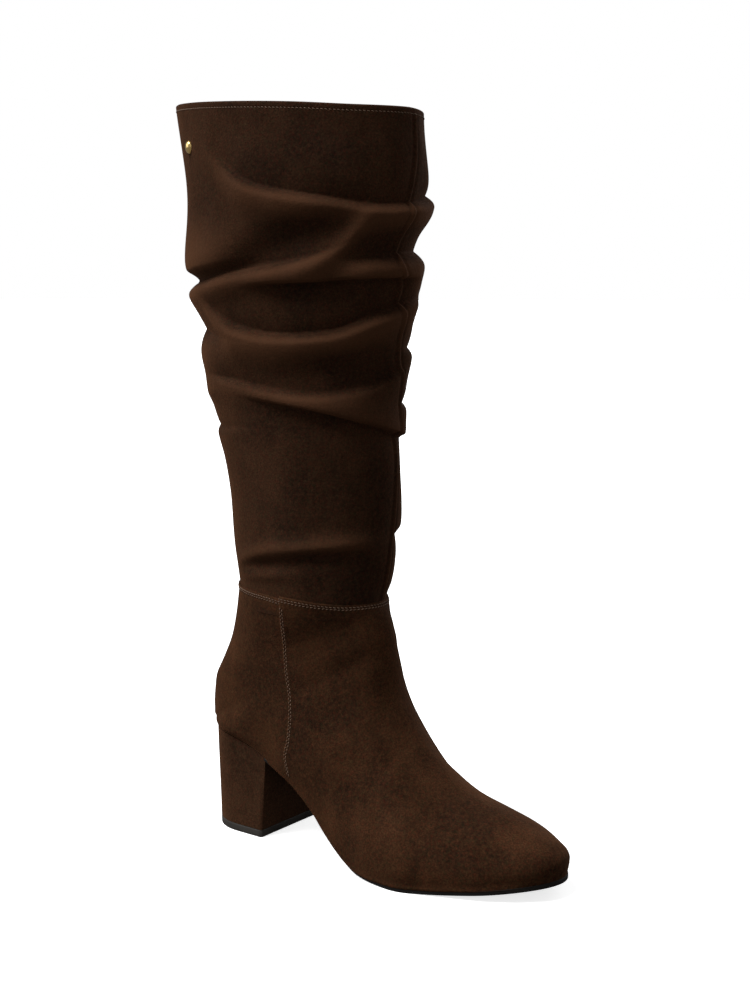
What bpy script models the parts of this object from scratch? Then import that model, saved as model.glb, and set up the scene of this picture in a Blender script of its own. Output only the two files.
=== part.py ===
"""Slouch boot for the right foot: a knee-high suede upper on a block heel.

Metres, +Z up, toe towards +X, outer side of the leg towards -Y, standing on z = 0.
Each ring of the upper runs once round the boot. The lowest follows the edge of the sole, the
highest is the collar, and the last's own sections give the width wherever a ring crosses them.
"""
import math
from collections import namedtuple

import bmesh
import bpy
import numpy as np
from mathutils import Vector

# Driving dimensions of the last and the shaft
LAST_LENGTH = 0.254
BALL_WIDTH = 0.086
SEAT_WIDTH = 0.059
HEEL_RISE = 0.0638
TOE_SPRING = 0.0095
TOE_SWING = 0.004
INSTEP_RISE = 0.157
COUNTER_RISE = 0.0937
ANKLE_DEPTH = 0.1013
ANKLE_WIDTH = 0.0742
COLLAR_DEPTH = 0.169
COLLAR_WIDTH = 0.115
SHAFT_RISE = 0.295
COLLAR_DROP = 0.003
FOLD_SIZE = 0.0060

# Thicknesses, laps and clearances
WALL = 0.0020
LAP = 0.0011
SEAM_WIDTH = 0.0012
RIB_HEIGHT = 0.0009
RIB_WIDTH = 0.0040
SOLE_THICKNESS = 0.0032
SOLE_MARGIN = 0.0008
INSOLE_THICKNESS = 0.0022
INSOLE_EASE = 0.0018
TIP_THICKNESS = 0.0048
GAP = 0.0003
SEAT_GAP = 0.0005

# Block heel
HEEL_TOP_LENGTH = 0.0590
HEEL_FOOT_LENGTH = 0.0490
HEEL_FOOT_WIDTH = 0.0545
HEEL_FOOT_SET = 0.0035
HEEL_INSET = 0.0010
WAIST = 0.35
EDGE_ROUND = 0.0012

# Brass stud near the collar
STUD_RADIUS = 0.0040
STUD_HEIGHT = 0.0024
STUD_DROP = 0.0230
STUD_ANGLE = math.radians(54)

# How finely the surfaces are divided
FOOT_RINGS = 14
SHAFT_RINGS = 34
REAR_COLUMNS = 10
FRONT_COLUMNS = 15
HEEL_STATIONS = 14
STUD_SIDES = 14

# The tread lies flat on the floor between these two shares of the last's length
TREAD_BACK = 0.600
TREAD_FRONT = 0.690
SPRING_POWER = 1.5

# Rise of the shank behind the tread: how far back, and the share of HEEL_RISE reached there
ShankRow = namedtuple("ShankRow", "back rise")
SHANK = (
    ShankRow(0.00, 0.000),
    ShankRow(0.08, 0.013),
    ShankRow(0.15, 0.060),
    ShankRow(0.21, 0.141),
    ShankRow(0.28, 0.266),
    ShankRow(0.34, 0.401),
    ShankRow(0.41, 0.542),
    ShankRow(0.48, 0.657),
    ShankRow(0.55, 0.742),
    ShankRow(0.62, 0.818),
    ShankRow(0.72, 0.897),
    ShankRow(0.86, 0.966),
    ShankRow(1.00, 1.000),
)

# Outline of the last's bottom: along the length, then each side in shares of BALL_WIDTH
OutlineRow = namedtuple("OutlineRow", "along outer inner")
OUTLINE = (
    OutlineRow(0.000, 0.345, 0.345),
    OutlineRow(0.120, 0.362, 0.350),
    OutlineRow(0.245, 0.374, 0.325),
    OutlineRow(0.375, 0.384, 0.285),
    OutlineRow(0.490, 0.445, 0.300),
    OutlineRow(0.590, 0.522, 0.375),
    OutlineRow(0.660, 0.540, 0.440),
    OutlineRow(0.730, 0.492, 0.465),
    OutlineRow(0.805, 0.428, 0.440),
    OutlineRow(0.885, 0.360, 0.385),
    OutlineRow(0.945, 0.310, 0.335),
    OutlineRow(1.000, 0.270, 0.290),
)
SEAT_ROUND = 0.49
TOE_ROUND = 0.042
TOE_POWER = 2.2

# Sections of the last from toe to ankle. Each is a plane seen edge-on from the side: it runs from
# a low point on the sole or the back of the heel to a top point on the ridge of the foot.
# low and top: shares of LAST_LENGTH. low_rise: share of COUNTER_RISE above the seat.
# top_rise: share of INSTEP_RISE above the floor. outer, inner: shares of BALL_WIDTH.
# ridge: the top point's shift to the inner side, in shares of BALL_WIDTH.
# blunt, full: roundness at the low end and at the top end, where 1 is an ellipse.
Section = namedtuple("Section", "low low_rise top top_rise outer inner ridge blunt full")
SECTIONS = (
    Section(1.000, 0.00, 1.002, 0.108, 0.00, 0.00, 0.045, 0.90, 0.90),
    Section(0.994, 0.00, 1.000, 0.143, 0.08, 0.08, 0.046, 0.92, 0.92),
    Section(0.974, 0.00, 0.980, 0.182, 0.20, 0.20, 0.048, 0.95, 0.97),
    Section(0.937, 0.00, 0.940, 0.214, 0.28, 0.26, 0.052, 1.00, 1.06),
    Section(0.874, 0.00, 0.876, 0.246, 0.36, 0.34, 0.058, 1.00, 1.14),
    Section(0.800, 0.00, 0.800, 0.279, 0.43, 0.42, 0.064, 1.00, 1.22),
    Section(0.728, 0.00, 0.728, 0.314, 0.50, 0.45, 0.066, 1.00, 1.26),
    Section(0.654, 0.00, 0.664, 0.384, 0.54, 0.43, 0.064, 1.00, 1.24),
    Section(0.575, 0.00, 0.612, 0.470, 0.52, 0.40, 0.058, 1.00, 1.18),
    Section(0.488, 0.00, 0.574, 0.552, 0.47, 0.39, 0.050, 1.00, 1.12),
    Section(0.394, 0.00, 0.549, 0.630, 0.43, 0.39, 0.042, 0.94, 1.08),
    Section(0.291, 0.00, 0.536, 0.705, 0.41, 0.39, 0.034, 0.87, 1.04),
    Section(0.189, 0.00, 0.529, 0.771, 0.400, 0.390, 0.026, 0.82, 1.00),
    Section(0.094, 0.00, 0.523, 0.828, 0.390, 0.385, 0.020, 0.79, 0.98),
    Section(0.024, 0.00, 0.518, 0.873, 0.380, 0.378, 0.014, 0.77, 0.97),
    Section(0.000, 0.00, 0.513, 0.904, 0.376, 0.374, 0.010, 0.76, 0.97),
    Section(-0.0115, 0.10, 0.509, 0.927, 0.374, 0.374, 0.008, 0.78, 0.97),
    Section(-0.005, 0.27, 0.505, 0.946, 0.376, 0.376, 0.006, 0.81, 0.98),
    Section(0.023, 0.44, 0.501, 0.962, 0.385, 0.385, 0.004, 0.86, 0.99),
    Section(0.058, 0.64, 0.497, 0.976, 0.402, 0.402, 0.003, 0.92, 1.00),
    Section(0.078, 0.83, 0.493, 0.989, 0.418, 0.418, 0.001, 0.97, 1.00),
    Section(0.090, 1.00, 0.489, 1.000, 0.431, 0.431, 0.000, 1.00, 1.00),
)
SEAT_SECTION = 15

# The shaft without its folds: height in shares of SHAFT_RISE, opening from ankle size to collar
# size, and how far the centre stands forward of the ankle's, in shares of ANKLE_DEPTH
ShaftRow = namedtuple("ShaftRow", "height open forward")
SHAFT = (
    ShaftRow(0.000, 0.00, 0.000),
    ShaftRow(0.137, 0.16, 0.012),
    ShaftRow(0.274, 0.28, -0.002),
    ShaftRow(0.411, 0.46, -0.035),
    ShaftRow(0.548, 0.60, -0.045),
    ShaftRow(0.685, 0.80, -0.060),
    ShaftRow(0.822, 0.91, -0.050),
    ShaftRow(1.000, 1.00, -0.100),
)

# Slouch folds of the shaft. at, half: middle and half-length round the leg in degrees, from the
# back over the outer side. height, slope, bow: shares of SHAFT_RISE at the middle, to its end
# and as a curve. out and lean: outward and downward shift in FOLD_SIZE. thick: half-height in
# shares of SHAFT_RISE.
Fold = namedtuple("Fold", "at half height slope bow out lean thick")
FOLDS = (
    Fold(165, 95, 0.800, -0.030, 0.060, 0.90, -0.5, 0.030),
    Fold(150, 80, 0.845, -0.035, 0.055, -0.50, 0.0, 0.026),
    Fold(50, 75, 0.706, 0.025, 0.000, 0.95, 0.9, 0.034),
    Fold(32, 45, 0.655, 0.000, 0.010, -0.75, 0.0, 0.018),
    Fold(205, 50, 0.696, -0.010, 0.000, -0.95, 0.0, 0.020),
    Fold(205, 55, 0.648, 0.000, 0.000, 1.05, 0.0, 0.026),
    Fold(100, 130, 0.668, 0.034, -0.010, 0.55, -0.6, 0.020),
    Fold(130, 60, 0.605, 0.015, 0.010, -0.75, 0.0, 0.034),
    Fold(30, 45, 0.548, 0.000, 0.010, -0.80, 0.0, 0.020),
    Fold(120, 115, 0.538, 0.020, 0.075, 0.80, -0.2, 0.026),
    Fold(205, 45, 0.512, 0.000, 0.000, -0.70, 0.0, 0.024),
    Fold(40, 60, 0.495, 0.000, 0.010, 0.70, 0.5, 0.030),
    Fold(125, 110, 0.432, 0.015, 0.020, 0.70, -0.1, 0.026),
    Fold(175, 90, 0.370, -0.045, 0.005, 0.75, 0.6, 0.022),
    Fold(200, 60, 0.305, 0.000, 0.000, -0.55, 0.0, 0.018),
    Fold(45, 60, 0.345, 0.000, 0.000, -0.40, 0.0, 0.018),
    Fold(130, 105, 0.128, 0.030, -0.030, 0.55, 0.0, 0.026),
    Fold(120, 90, 0.080, 0.030, -0.025, -0.35, 0.0, 0.022),
    Fold(290, 80, 0.760, 0.020, 0.030, 0.85, 0.5, 0.032),
    Fold(285, 85, 0.640, -0.035, 0.040, 0.80, 0.4, 0.030),
    Fold(290, 75, 0.530, 0.030, -0.020, 0.75, 0.3, 0.028),
    Fold(280, 80, 0.420, -0.020, 0.030, 0.70, 0.4, 0.028),
    Fold(290, 65, 0.300, 0.020, 0.020, 0.45, 0.2, 0.026),
    Fold(280, 70, 0.150, -0.020, 0.020, 0.40, 0.0, 0.026),
)
COLLAR_CALM = 0.14
ANKLE_CALM = 0.05

# Side seam of the foot: its place in shares of LAST_LENGTH, at a share of the way up from the sole
# to the ankle seam
SideSeamRow = namedtuple("SideSeamRow", "rise along")
SIDE_SEAM = (
    SideSeamRow(0.00, 0.338),
    SideSeamRow(0.18, 0.324),
    SideSeamRow(0.55, 0.325),
    SideSeamRow(0.80, 0.303),
    SideSeamRow(1.00, 0.312),
)
SEAM_FADE = 0.060


def between(xs, ys, at):
    """Monotone cubic through the points (xs, ys), read at one number or an array of them."""
    xs = np.asarray(xs, float)
    ys = np.asarray(ys, float)
    step = np.diff(xs)
    rise = np.diff(ys) / step
    slope = np.zeros(len(xs))
    slope[0], slope[-1] = rise[0], rise[-1]
    same_way = rise[:-1] * rise[1:] > 0
    near = 2 * step[1:] + step[:-1]
    far = step[1:] + 2 * step[:-1]
    with np.errstate(divide="ignore", invalid="ignore"):
        mean = (near + far) / (near / rise[:-1] + far / rise[1:])
    slope[1:-1] = np.where(same_way, mean, 0.0)
    at = np.clip(np.asarray(at, float), xs[0], xs[-1])
    k = np.clip(np.searchsorted(xs, at, side="right") - 1, 0, len(xs) - 2)
    t = (at - xs[k]) / step[k]
    return (
        (1 + 2 * t) * (1 - t) ** 2 * ys[k]
        + t * (1 - t) ** 2 * step[k] * slope[k]
        + t ** 2 * (3 - 2 * t) * ys[k + 1]
        - t ** 2 * (1 - t) * step[k] * slope[k + 1]
    )


def column(table, name, at, key=0):
    """One named column of a table, read between its rows by the key column."""
    return between([row[key] for row in table], [getattr(row, name) for row in table], at)


def ease(t):
    """0 to 1 with level ends."""
    t = np.clip(t, 0.0, 1.0)
    return t * t * (3 - 2 * t)


def tread(x):
    """Height of the outsole's underside above the floor."""
    along = np.clip(np.asarray(x, float) / LAST_LENGTH, 0.0, 1.0)
    back = np.clip((TREAD_BACK - along) / TREAD_BACK, 0.0, 1.0)
    front = np.clip((along - TREAD_FRONT) / (1 - TREAD_FRONT), 0.0, 1.0)
    return HEEL_RISE * column(SHANK, "rise", back) + TOE_SPRING * front ** SPRING_POWER


def feather(x):
    """Height of the upper's lower edge, just above the outsole."""
    return tread(x) + SOLE_THICKNESS + GAP


def toe_line(x):
    """The last's middle line, which swings inwards at the toe."""
    along = np.clip(np.asarray(x, float) / LAST_LENGTH, 0.0, 1.0)
    return TOE_SWING * ease((along - TREAD_BACK) / (1 - TREAD_BACK))


def bottom_width(x, side):
    """Half-width of the last's bottom on one side: -1 is the outer side, 1 the inner."""
    x = np.clip(np.asarray(x, float), 0.0, LAST_LENGTH)
    name = "outer" if side < 0 else "inner"
    wide = BALL_WIDTH * column(OUTLINE, name, x / LAST_LENGTH)
    seat_round = SEAT_ROUND * SEAT_WIDTH
    back = np.clip(1 - x / seat_round, 0.0, 1.0)
    toe = np.clip((x - LAST_LENGTH + TOE_ROUND) / TOE_ROUND, 0.0, 1.0)
    seat_share = SEAT_WIDTH / (2 * BALL_WIDTH * OUTLINE[0].outer)
    seat = 1 + (seat_share - 1) * (1 - ease(x / (TREAD_BACK * LAST_LENGTH)))
    return wide * seat * np.sqrt(1 - back ** 2) * np.sqrt(1 - toe ** TOE_POWER)


def low_point(s):
    """Side view of a section's low end: on the sole's edge, then up the back of the heel."""
    x = LAST_LENGTH * section(s, "low")
    z = feather(x) + COUNTER_RISE * section(s, "low_rise")
    return x, z


def top_point(s):
    """Side view of a section's top end, on the ridge of the foot."""
    x = LAST_LENGTH * section(s, "top")
    z = INSTEP_RISE * section(s, "top_rise")
    return x, z


def section(s, name):
    """One column of the last's sections, read at a whole or broken row number."""
    return between(range(len(SECTIONS)), [getattr(row, name) for row in SECTIONS], s)


def foot_side(x, z, side):
    """y of the last's surface on one side, over a point of the side view."""
    x = np.asarray(x, float)
    z = np.asarray(z, float)
    near = np.zeros_like(x)
    far = np.full_like(x, len(SECTIONS) - 1.0)
    for _ in range(32):
        middle = (near + far) / 2
        low_x, low_z = low_point(middle)
        top_x, top_z = top_point(middle)
        ahead = (top_x - low_x) * (z - low_z) - (top_z - low_z) * (x - low_x)
        far = np.where(ahead < 0, middle, far)
        near = np.where(ahead < 0, near, middle)
    s = (near + far) / 2
    low_x, low_z = low_point(s)
    top_x, top_z = top_point(s)
    reach = np.hypot(top_x - low_x, top_z - low_z)
    t = np.clip(np.hypot(x - low_x, z - low_z) / np.maximum(reach, 1e-9), 0.0, 1.0)
    edge = np.where(s < SEAT_SECTION, bottom_width(low_x, side), 0.0)
    name = "outer" if side < 0 else "inner"
    wide = np.maximum(BALL_WIDTH * section(s, name), edge * 1.03)
    blunt = section(s, "blunt")
    full = blunt + (section(s, "full") - blunt) * ease(t)
    start_sine = np.clip(edge / np.maximum(wide, 1e-9), 0.0, 1.0) ** (1 / blunt)
    start = np.sqrt(1 - start_sine ** 2)
    cosine = start - t * (1 + start)
    half = wide * np.sqrt(np.clip(1 - cosine ** 2, 0.0, 1.0)) ** full
    middle_line = toe_line(low_x) * (1 - t) + BALL_WIDTH * section(s, "ridge") * t
    return middle_line + side * half


def run_along(point, start, end, share):
    """Row number at a share of the arc length of a section-end curve, from start to end."""
    rows = np.linspace(start, end, 200)
    x, z = point(rows)
    length = np.concatenate([[0.0], np.cumsum(np.hypot(np.diff(x), np.diff(z)))])
    return float(np.interp(share * length[-1], length, rows))


def seam_columns(turn_at_seam, width):
    """Angles from back (0) to front (pi) on one side, with a close pair at the side seam."""
    gap = SEAM_WIDTH / width
    rib = RIB_WIDTH / width
    rear = np.linspace(rib, turn_at_seam - gap / 2, REAR_COLUMNS)
    front = np.linspace(turn_at_seam + gap / 2, math.pi - rib, FRONT_COLUMNS)
    return np.concatenate([[0.0], rear, front, [math.pi]])


def edge_turns():
    """Angles of the upper's lowest ring, which the pieces under and inside it share."""
    return seam_columns(outline_turn(seam_x(0.0)), ANKLE_WIDTH / 2)


def seam_x(rise):
    """x of the side seam at a share of the way up from sole to ankle seam."""
    return LAST_LENGTH * column(SIDE_SEAM, "along", rise)


def foot_ring(rise):
    """One ring of the foot, from the sole's edge (rise 0) to the ankle seam (rise 1)."""
    last = len(SECTIONS) - 1
    back_x, back_z = low_point(run_along(low_point, SEAT_SECTION, last, rise))
    front_x, front_z = top_point(run_along(top_point, 0, last, rise ** 1.12))
    if rise == 0:
        front_x, front_z = low_point(0.0)
    sag = (1 - rise) ** 2
    ends = feather(0.0), feather(LAST_LENGTH)

    def side_view(turn):
        share = (1 - np.cos(turn)) / 2
        x = back_x + (front_x - back_x) * share
        dip = feather(share * LAST_LENGTH) - ends[0] - (ends[1] - ends[0]) * share
        return x, back_z + (front_z - back_z) * share + sag * dip

    share = (seam_x(rise) - back_x) / (front_x - back_x)
    turns = seam_columns(math.acos(1 - 2 * share), ANKLE_WIDTH / 2)
    x, z = side_view(turns)
    ring = []
    for side in (-1, 1):
        y = foot_side(x, z, side)
        if rise == 0:
            y = toe_line(x) + side * bottom_width(x, side)
        ring.append(np.stack([x, y, z], axis=1))
    middle = (ring[0][:, 1] + ring[1][:, 1]) / 2
    for half in ring:
        half[0, 1], half[-1, 1] = middle[0], middle[-1]
    return turns, ring


def ankle_ends():
    """Side view of the ankle seam: its back and its front."""
    last = len(SECTIONS) - 1
    return low_point(last), top_point(last)


def shaft_outline(height, turn, side):
    """Point of the shaft without its folds, at a share of its height and an angle."""
    (back_x, back_z), (front_x, front_z) = ankle_ends()
    open_share = column(SHAFT, "open", height)
    depth = (front_x - back_x) + open_share * (COLLAR_DEPTH - ANKLE_DEPTH)
    width = ANKLE_WIDTH + open_share * (COLLAR_WIDTH - ANKLE_WIDTH)
    centre = (back_x + front_x) / 2 + ANKLE_DEPTH * column(SHAFT, "forward", height)
    share = (1 - np.cos(turn)) / 2
    x = centre + depth * (share - 0.5)
    y = side * width / 2 * np.sin(turn)
    z = back_z + (front_z - back_z) * share + (SHAFT_RISE - COLLAR_DROP * share) * height
    return np.stack([x, y, z + 0 * x], axis=-1)


def fold_shift(height, turn, side):
    """Outward and upward shift of the folds at a share of the shaft's height."""
    angle = np.degrees(turn) if side < 0 else 360 - np.degrees(turn)
    out = np.zeros_like(angle)
    up = np.zeros_like(angle)
    for fold in FOLDS:
        off = ((angle - fold.at + 180) % 360 - 180) / fold.half
        window = np.clip(1 - off ** 2, 0.0, 1.0) ** 2
        crest = fold.height + fold.slope * off + fold.bow * off ** 2
        bump = window * np.exp(-((height - crest) / fold.thick) ** 2)
        out += fold.out * bump
        up -= fold.lean * bump
    calm = ease(height / ANKLE_CALM) * ease((1 - height) / COLLAR_CALM)
    return FOLD_SIZE * out * calm, FOLD_SIZE * up * calm


def shaft_point(height, turn, side):
    """Point of the folded shaft."""
    step = 1e-4
    turn = np.asarray(turn, float)
    here = shaft_outline(height, turn, side)
    ahead = shaft_outline(height, turn + step, side) - shaft_outline(height, turn - step, side)
    normal = np.stack([side * -ahead[..., 1], side * ahead[..., 0], 0 * ahead[..., 0]], axis=-1)
    normal /= np.linalg.norm(normal, axis=-1, keepdims=True)
    out, up = fold_shift(height, turn, side)
    here = here + normal * out[..., None]
    here[..., 2] += up
    return here


def upper_rings():
    """All rings of the upper's outer face, each running back, outer side, front, inner side."""
    rings = []
    proud = []
    for k in range(FOOT_RINGS + 1):
        rise = k / FOOT_RINGS
        turns, (outer, inner) = foot_ring(rise)
        below_seam = ease((rise - 0.45) / 0.55)
        lap = []
        for half in (outer, inner):
            ahead = half[:, 0] - seam_x(rise)
            vamp = np.where(ahead > 0, 1 - ease(ahead / SEAM_FADE), 0.0) * ease(rise * 6)
            lap.append(LAP * (below_seam + vamp))
        rings.append(closed_ring(outer, inner))
        proud.append(closed_ring(lap[0], lap[1]))
    seam_turn = turns[REAR_COLUMNS] + SEAM_WIDTH / ANKLE_WIDTH
    for k in range(SHAFT_RINGS + 1):
        height = SEAM_WIDTH / SHAFT_RISE + (1 - SEAM_WIDTH / SHAFT_RISE) * k / SHAFT_RINGS
        turns = seam_columns(seam_turn, ANKLE_WIDTH / 2)
        rib = np.zeros_like(turns)
        rib[0] = rib[-1] = RIB_HEIGHT
        rings.append(closed_ring(shaft_point(height, turns, -1), shaft_point(height, turns, 1)))
        proud.append(closed_ring(rib, rib))
    rings = np.array(rings)
    return rings + surface_normals(rings) * np.array(proud)[..., None]


def closed_ring(outer, inner):
    """Back to front over the outer side, then back again over the inner side."""
    return np.concatenate([outer, inner[-2:0:-1]])


def surface_normals(rings):
    """Unit outward normals of a grid of closed rings."""
    round_ring = np.roll(rings, -1, axis=1) - np.roll(rings, 1, axis=1)
    up_ring = np.gradient(rings, axis=0)
    normal = np.cross(round_ring, up_ring)
    return normal / np.maximum(np.linalg.norm(normal, axis=-1, keepdims=True), 1e-12)


def material(name, colour, roughness, metallic=0.0):
    """A Principled material with one colour."""
    made = bpy.data.materials.new(name)
    made.use_nodes = True
    shader = made.node_tree.nodes["Principled BSDF"]
    shader.inputs["Base Color"].default_value = (*colour, 1.0)
    shader.inputs["Roughness"].default_value = roughness
    shader.inputs["Metallic"].default_value = metallic
    return made


def add_part(name, mesh_data, finish, collection):
    """One smooth-shaded object in the boot's collection."""
    bm = bmesh.new()
    mesh_data(bm)
    bmesh.ops.remove_doubles(bm, verts=bm.verts, dist=1e-6)
    bmesh.ops.recalc_face_normals(bm, faces=bm.faces)
    mesh = bpy.data.meshes.new(name)
    bm.to_mesh(mesh)
    bm.free()
    mesh.shade_smooth()
    mesh.set_sharp_from_angle(angle=math.radians(40))
    mesh.materials.append(finish)
    part = bpy.data.objects.new(name, mesh)
    collection.objects.link(part)
    return part


def wall_of_rings(outer, inner):
    """Faces of a wall between two sets of closed rings, with a rim at each open end."""
    def fill(bm):
        out = [[bm.verts.new(point) for point in ring] for ring in outer]
        into = [[bm.verts.new(point) for point in ring] for ring in inner]
        loops = out + into[::-1]
        for lower, higher in zip(loops, loops[1:] + loops[:1]):
            for k in range(len(lower)):
                m = (k + 1) % len(lower)
                bm.faces.new((lower[k], lower[m], higher[m], higher[k]))
    return fill


def block_of_levels(levels):
    """Faces of a closed block. Each level is a list of stations, and each station a pair of
    points, outer side then inner side. The first and last levels are closed across."""
    def fill(bm):
        rows = [[[bm.verts.new(p) for p in pair] for pair in level] for level in levels]
        for low, high in zip(rows, rows[1:]):
            for k in range(len(low) - 1):
                for n in (0, 1):
                    bm.faces.new((low[k][n], low[k + 1][n], high[k + 1][n], high[k][n]))
            for k in (0, -1):
                bm.faces.new((low[k][0], low[k][1], high[k][1], high[k][0]))
        for level in (rows[0], rows[-1]):
            for one, two in zip(level, level[1:]):
                bm.faces.new((one[0], one[1], two[1], two[0]))
        bmesh.ops.remove_doubles(bm, verts=bm.verts, dist=1e-6)
        bmesh.ops.dissolve_degenerate(bm, dist=1e-6, edges=bm.edges)
    return fill


def inner_rings(rings):
    """The wall's inner face. Its lowest ring is kept level with the edge of the sole."""
    inner = rings - surface_normals(rings) * WALL
    flat = surface_normals(rings)[0] * (1, 1, 0)
    flat /= np.linalg.norm(flat, axis=-1, keepdims=True)
    inner[0] = rings[0] - flat * WALL
    inner[0, :, 2] = feather(inner[0, :, 0])
    floor = feather(inner[1:4, :, 0]) + WALL / 4
    inner[1:4, :, 2] = np.maximum(inner[1:4, :, 2], floor)
    return inner


def make_upper(finish, collection):
    """The whole upper as one wall: foot, lapped seams and folded shaft."""
    rings = upper_rings()
    return add_part("upper", wall_of_rings(rings, inner_rings(rings)), finish, collection)


def outline_point(turn, side):
    """Point of the last's bottom outline: turn runs from the back (0) to the toe (pi)."""
    x = LAST_LENGTH * (1 - np.cos(turn)) / 2
    across = np.where((turn < 0) | (turn > math.pi), -side, side)
    return np.stack([x, toe_line(x) + across * bottom_width(x, side)], axis=-1)


def outline_turn(x):
    """The turn at which the outline reaches x."""
    return math.acos(1 - 2 * x / LAST_LENGTH)


def outline_level(turns, grow, height):
    """Stations of the outline grown outwards, at a height given by a function of x."""
    sides = []
    for side in (-1, 1):
        here = outline_point(turns, side)
        ahead = outline_point(turns + 1e-3, side) - outline_point(turns - 1e-3, side)
        ahead /= np.linalg.norm(ahead, axis=-1, keepdims=True)
        x = here[:, 0] - side * ahead[:, 1] * grow
        y = here[:, 1] + side * ahead[:, 0] * grow
        sides.append(np.stack([x, y, height(x)], axis=-1))
    return list(zip(*sides))


def make_outsole(finish, collection):
    """Thin sole from the heel breast to the toe, flat on the floor under the ball."""
    start = outline_turn(HEEL_TOP_LENGTH + GAP)
    turns = edge_turns()
    turns = np.concatenate([[start], turns[turns > start]])
    levels = [
        outline_level(turns, SOLE_MARGIN - EDGE_ROUND, tread),
        outline_level(turns, SOLE_MARGIN, lambda x: tread(x) + EDGE_ROUND),
        outline_level(turns, SOLE_MARGIN, lambda x: tread(x) + SOLE_THICKNESS),
    ]
    return add_part("outsole", block_of_levels(levels), finish, collection)


def make_insole(finish, collection):
    """Insole board inside the upper, from the back of the seat to the toe."""
    turns = edge_turns()
    inset = WALL + INSOLE_EASE
    levels = [
        outline_level(turns, -inset, feather),
        outline_level(turns, -inset, lambda x: feather(x) + INSOLE_THICKNESS),
    ]
    return add_part("insole", block_of_levels(levels), finish, collection)


def heel_level(drop):
    """Stations of the heel's outline at a share of the way from the seat down to its foot."""
    turns = np.linspace(0.0, outline_turn(HEEL_TOP_LENGTH), HEEL_STATIONS)
    seat = outline_level(turns, -HEEL_INSET, lambda x: feather(x) - SEAT_GAP)
    foot = foot_level(TIP_THICKNESS + GAP, 0.0)
    waist = (1 - WAIST) * drop + WAIST * ease(drop)
    share = np.array([waist, waist, drop])
    return [[a + (b - a) * share for a, b in zip(*pairs)] for pairs in zip(seat, foot)]


def foot_level(height, inset):
    """Stations of the heel's outline where it stands, at one height."""
    level = []
    for k in range(HEEL_STATIONS):
        share = 1 - math.cos(math.pi / 2 * k / (HEEL_STATIONS - 1))
        x = HEEL_FOOT_SET + inset + (HEEL_FOOT_LENGTH - 2 * inset) * share
        half = (HEEL_FOOT_WIDTH / 2 - inset) * foot_round(share)
        level.append([np.array((x, side * half, height)) for side in (-1, 1)])
    return level


def foot_round(share):
    """Half-width of the heel's foot at a share of its length, as part of its full width."""
    back = np.clip(1 - share / 0.62, 0.0, 1.0)
    return float((1 - back ** 2.4) ** (1 / 2.0))


def make_heel(finish, collection):
    """Block heel under the seat, wrapped like the upper."""
    levels = [heel_level(drop) for drop in np.linspace(0.0, 1.0, 6)]
    return add_part("heel", block_of_levels(levels), finish, collection)


def make_heel_tip(finish, collection):
    """Rubber top piece that stands on the floor."""
    levels = [
        foot_level(0.0, EDGE_ROUND / 2),
        foot_level(EDGE_ROUND / 2, 0.0),
        foot_level(TIP_THICKNESS, 0.0),
    ]
    return add_part("heel_tip", block_of_levels(levels), finish, collection)


def make_stud(finish, collection):
    """Plain domed stud on the outer side below the collar."""
    height = 1 - STUD_DROP / SHAFT_RISE
    turn = np.array([STUD_ANGLE - 0.02, STUD_ANGLE, STUD_ANGLE + 0.02])
    low = shaft_point(height - 0.01, turn, -1)
    high = shaft_point(height + 0.01, turn, -1)
    round_leg = Vector(high[2] + low[2] - high[0] - low[0])
    up_leg = Vector(high[1] - low[1])
    normal = round_leg.cross(up_leg).normalized()
    bend = STUD_RADIUS ** 2 / COLLAR_WIDTH
    profile = []
    for k in range(6):
        lift = math.pi / 2 * k / 5
        profile.append((STUD_RADIUS * math.cos(lift), STUD_HEIGHT * (0.35 + 0.65 * math.sin(lift))))
    profile[-1] = (0.0, STUD_HEIGHT)
    profile = [(0.0, 0.0), (STUD_RADIUS, 0.0)] + profile

    def turned(bm):
        verts = [bm.verts.new((r, 0.0, z)) for r, z in profile]
        edges = [bm.edges.new(pair) for pair in zip(verts, verts[1:])]
        bmesh.ops.spin(
            bm, geom=verts + edges, cent=(0, 0, 0), axis=(0, 0, 1), angle=2 * math.pi, steps=STUD_SIDES
        )

    stud = add_part("stud", turned, finish, collection)
    place = Vector((high[1] + low[1]) / 2) + normal * (GAP + bend)
    stud.location = place
    stud.rotation_mode = "QUATERNION"
    stud.rotation_quaternion = normal.to_track_quat("Z", "Y")
    return stud


def centre_on_origin(parts):
    """Moves the boot so that the middle of its box stands over the origin."""
    bpy.context.view_layer.update()
    graph = bpy.context.evaluated_depsgraph_get()
    points = []
    for part in parts:
        shown = part.evaluated_get(graph)
        points += [shown.matrix_world @ vertex.co for vertex in shown.to_mesh().vertices]
        shown.to_mesh_clear()
    points = np.array(points)
    middle = (points.max(axis=0) + points.min(axis=0)) / 2
    for part in parts:
        part.location.x -= middle[0]
        part.location.y -= middle[1]
    return middle


def main():
    for old in list(bpy.data.objects):
        bpy.data.objects.remove(old)
    collection = bpy.data.collections.new("slouch_boot")
    bpy.context.scene.collection.children.link(collection)
    suede = material("brown_suede", (0.090, 0.045, 0.026), 0.95)
    rubber = material("black_rubber", (0.018, 0.017, 0.016), 0.55)
    lining = material("tan_lining", (0.36, 0.22, 0.13), 0.70)
    brass = material("brass", (0.80, 0.60, 0.28), 0.25, 1.0)
    parts = [
        make_upper(suede, collection),
        make_outsole(rubber, collection),
        make_insole(lining, collection),
        make_heel(suede, collection),
        make_heel_tip(rubber, collection),
        make_stud(brass, collection),
    ]
    return centre_on_origin(parts)


main()
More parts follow.
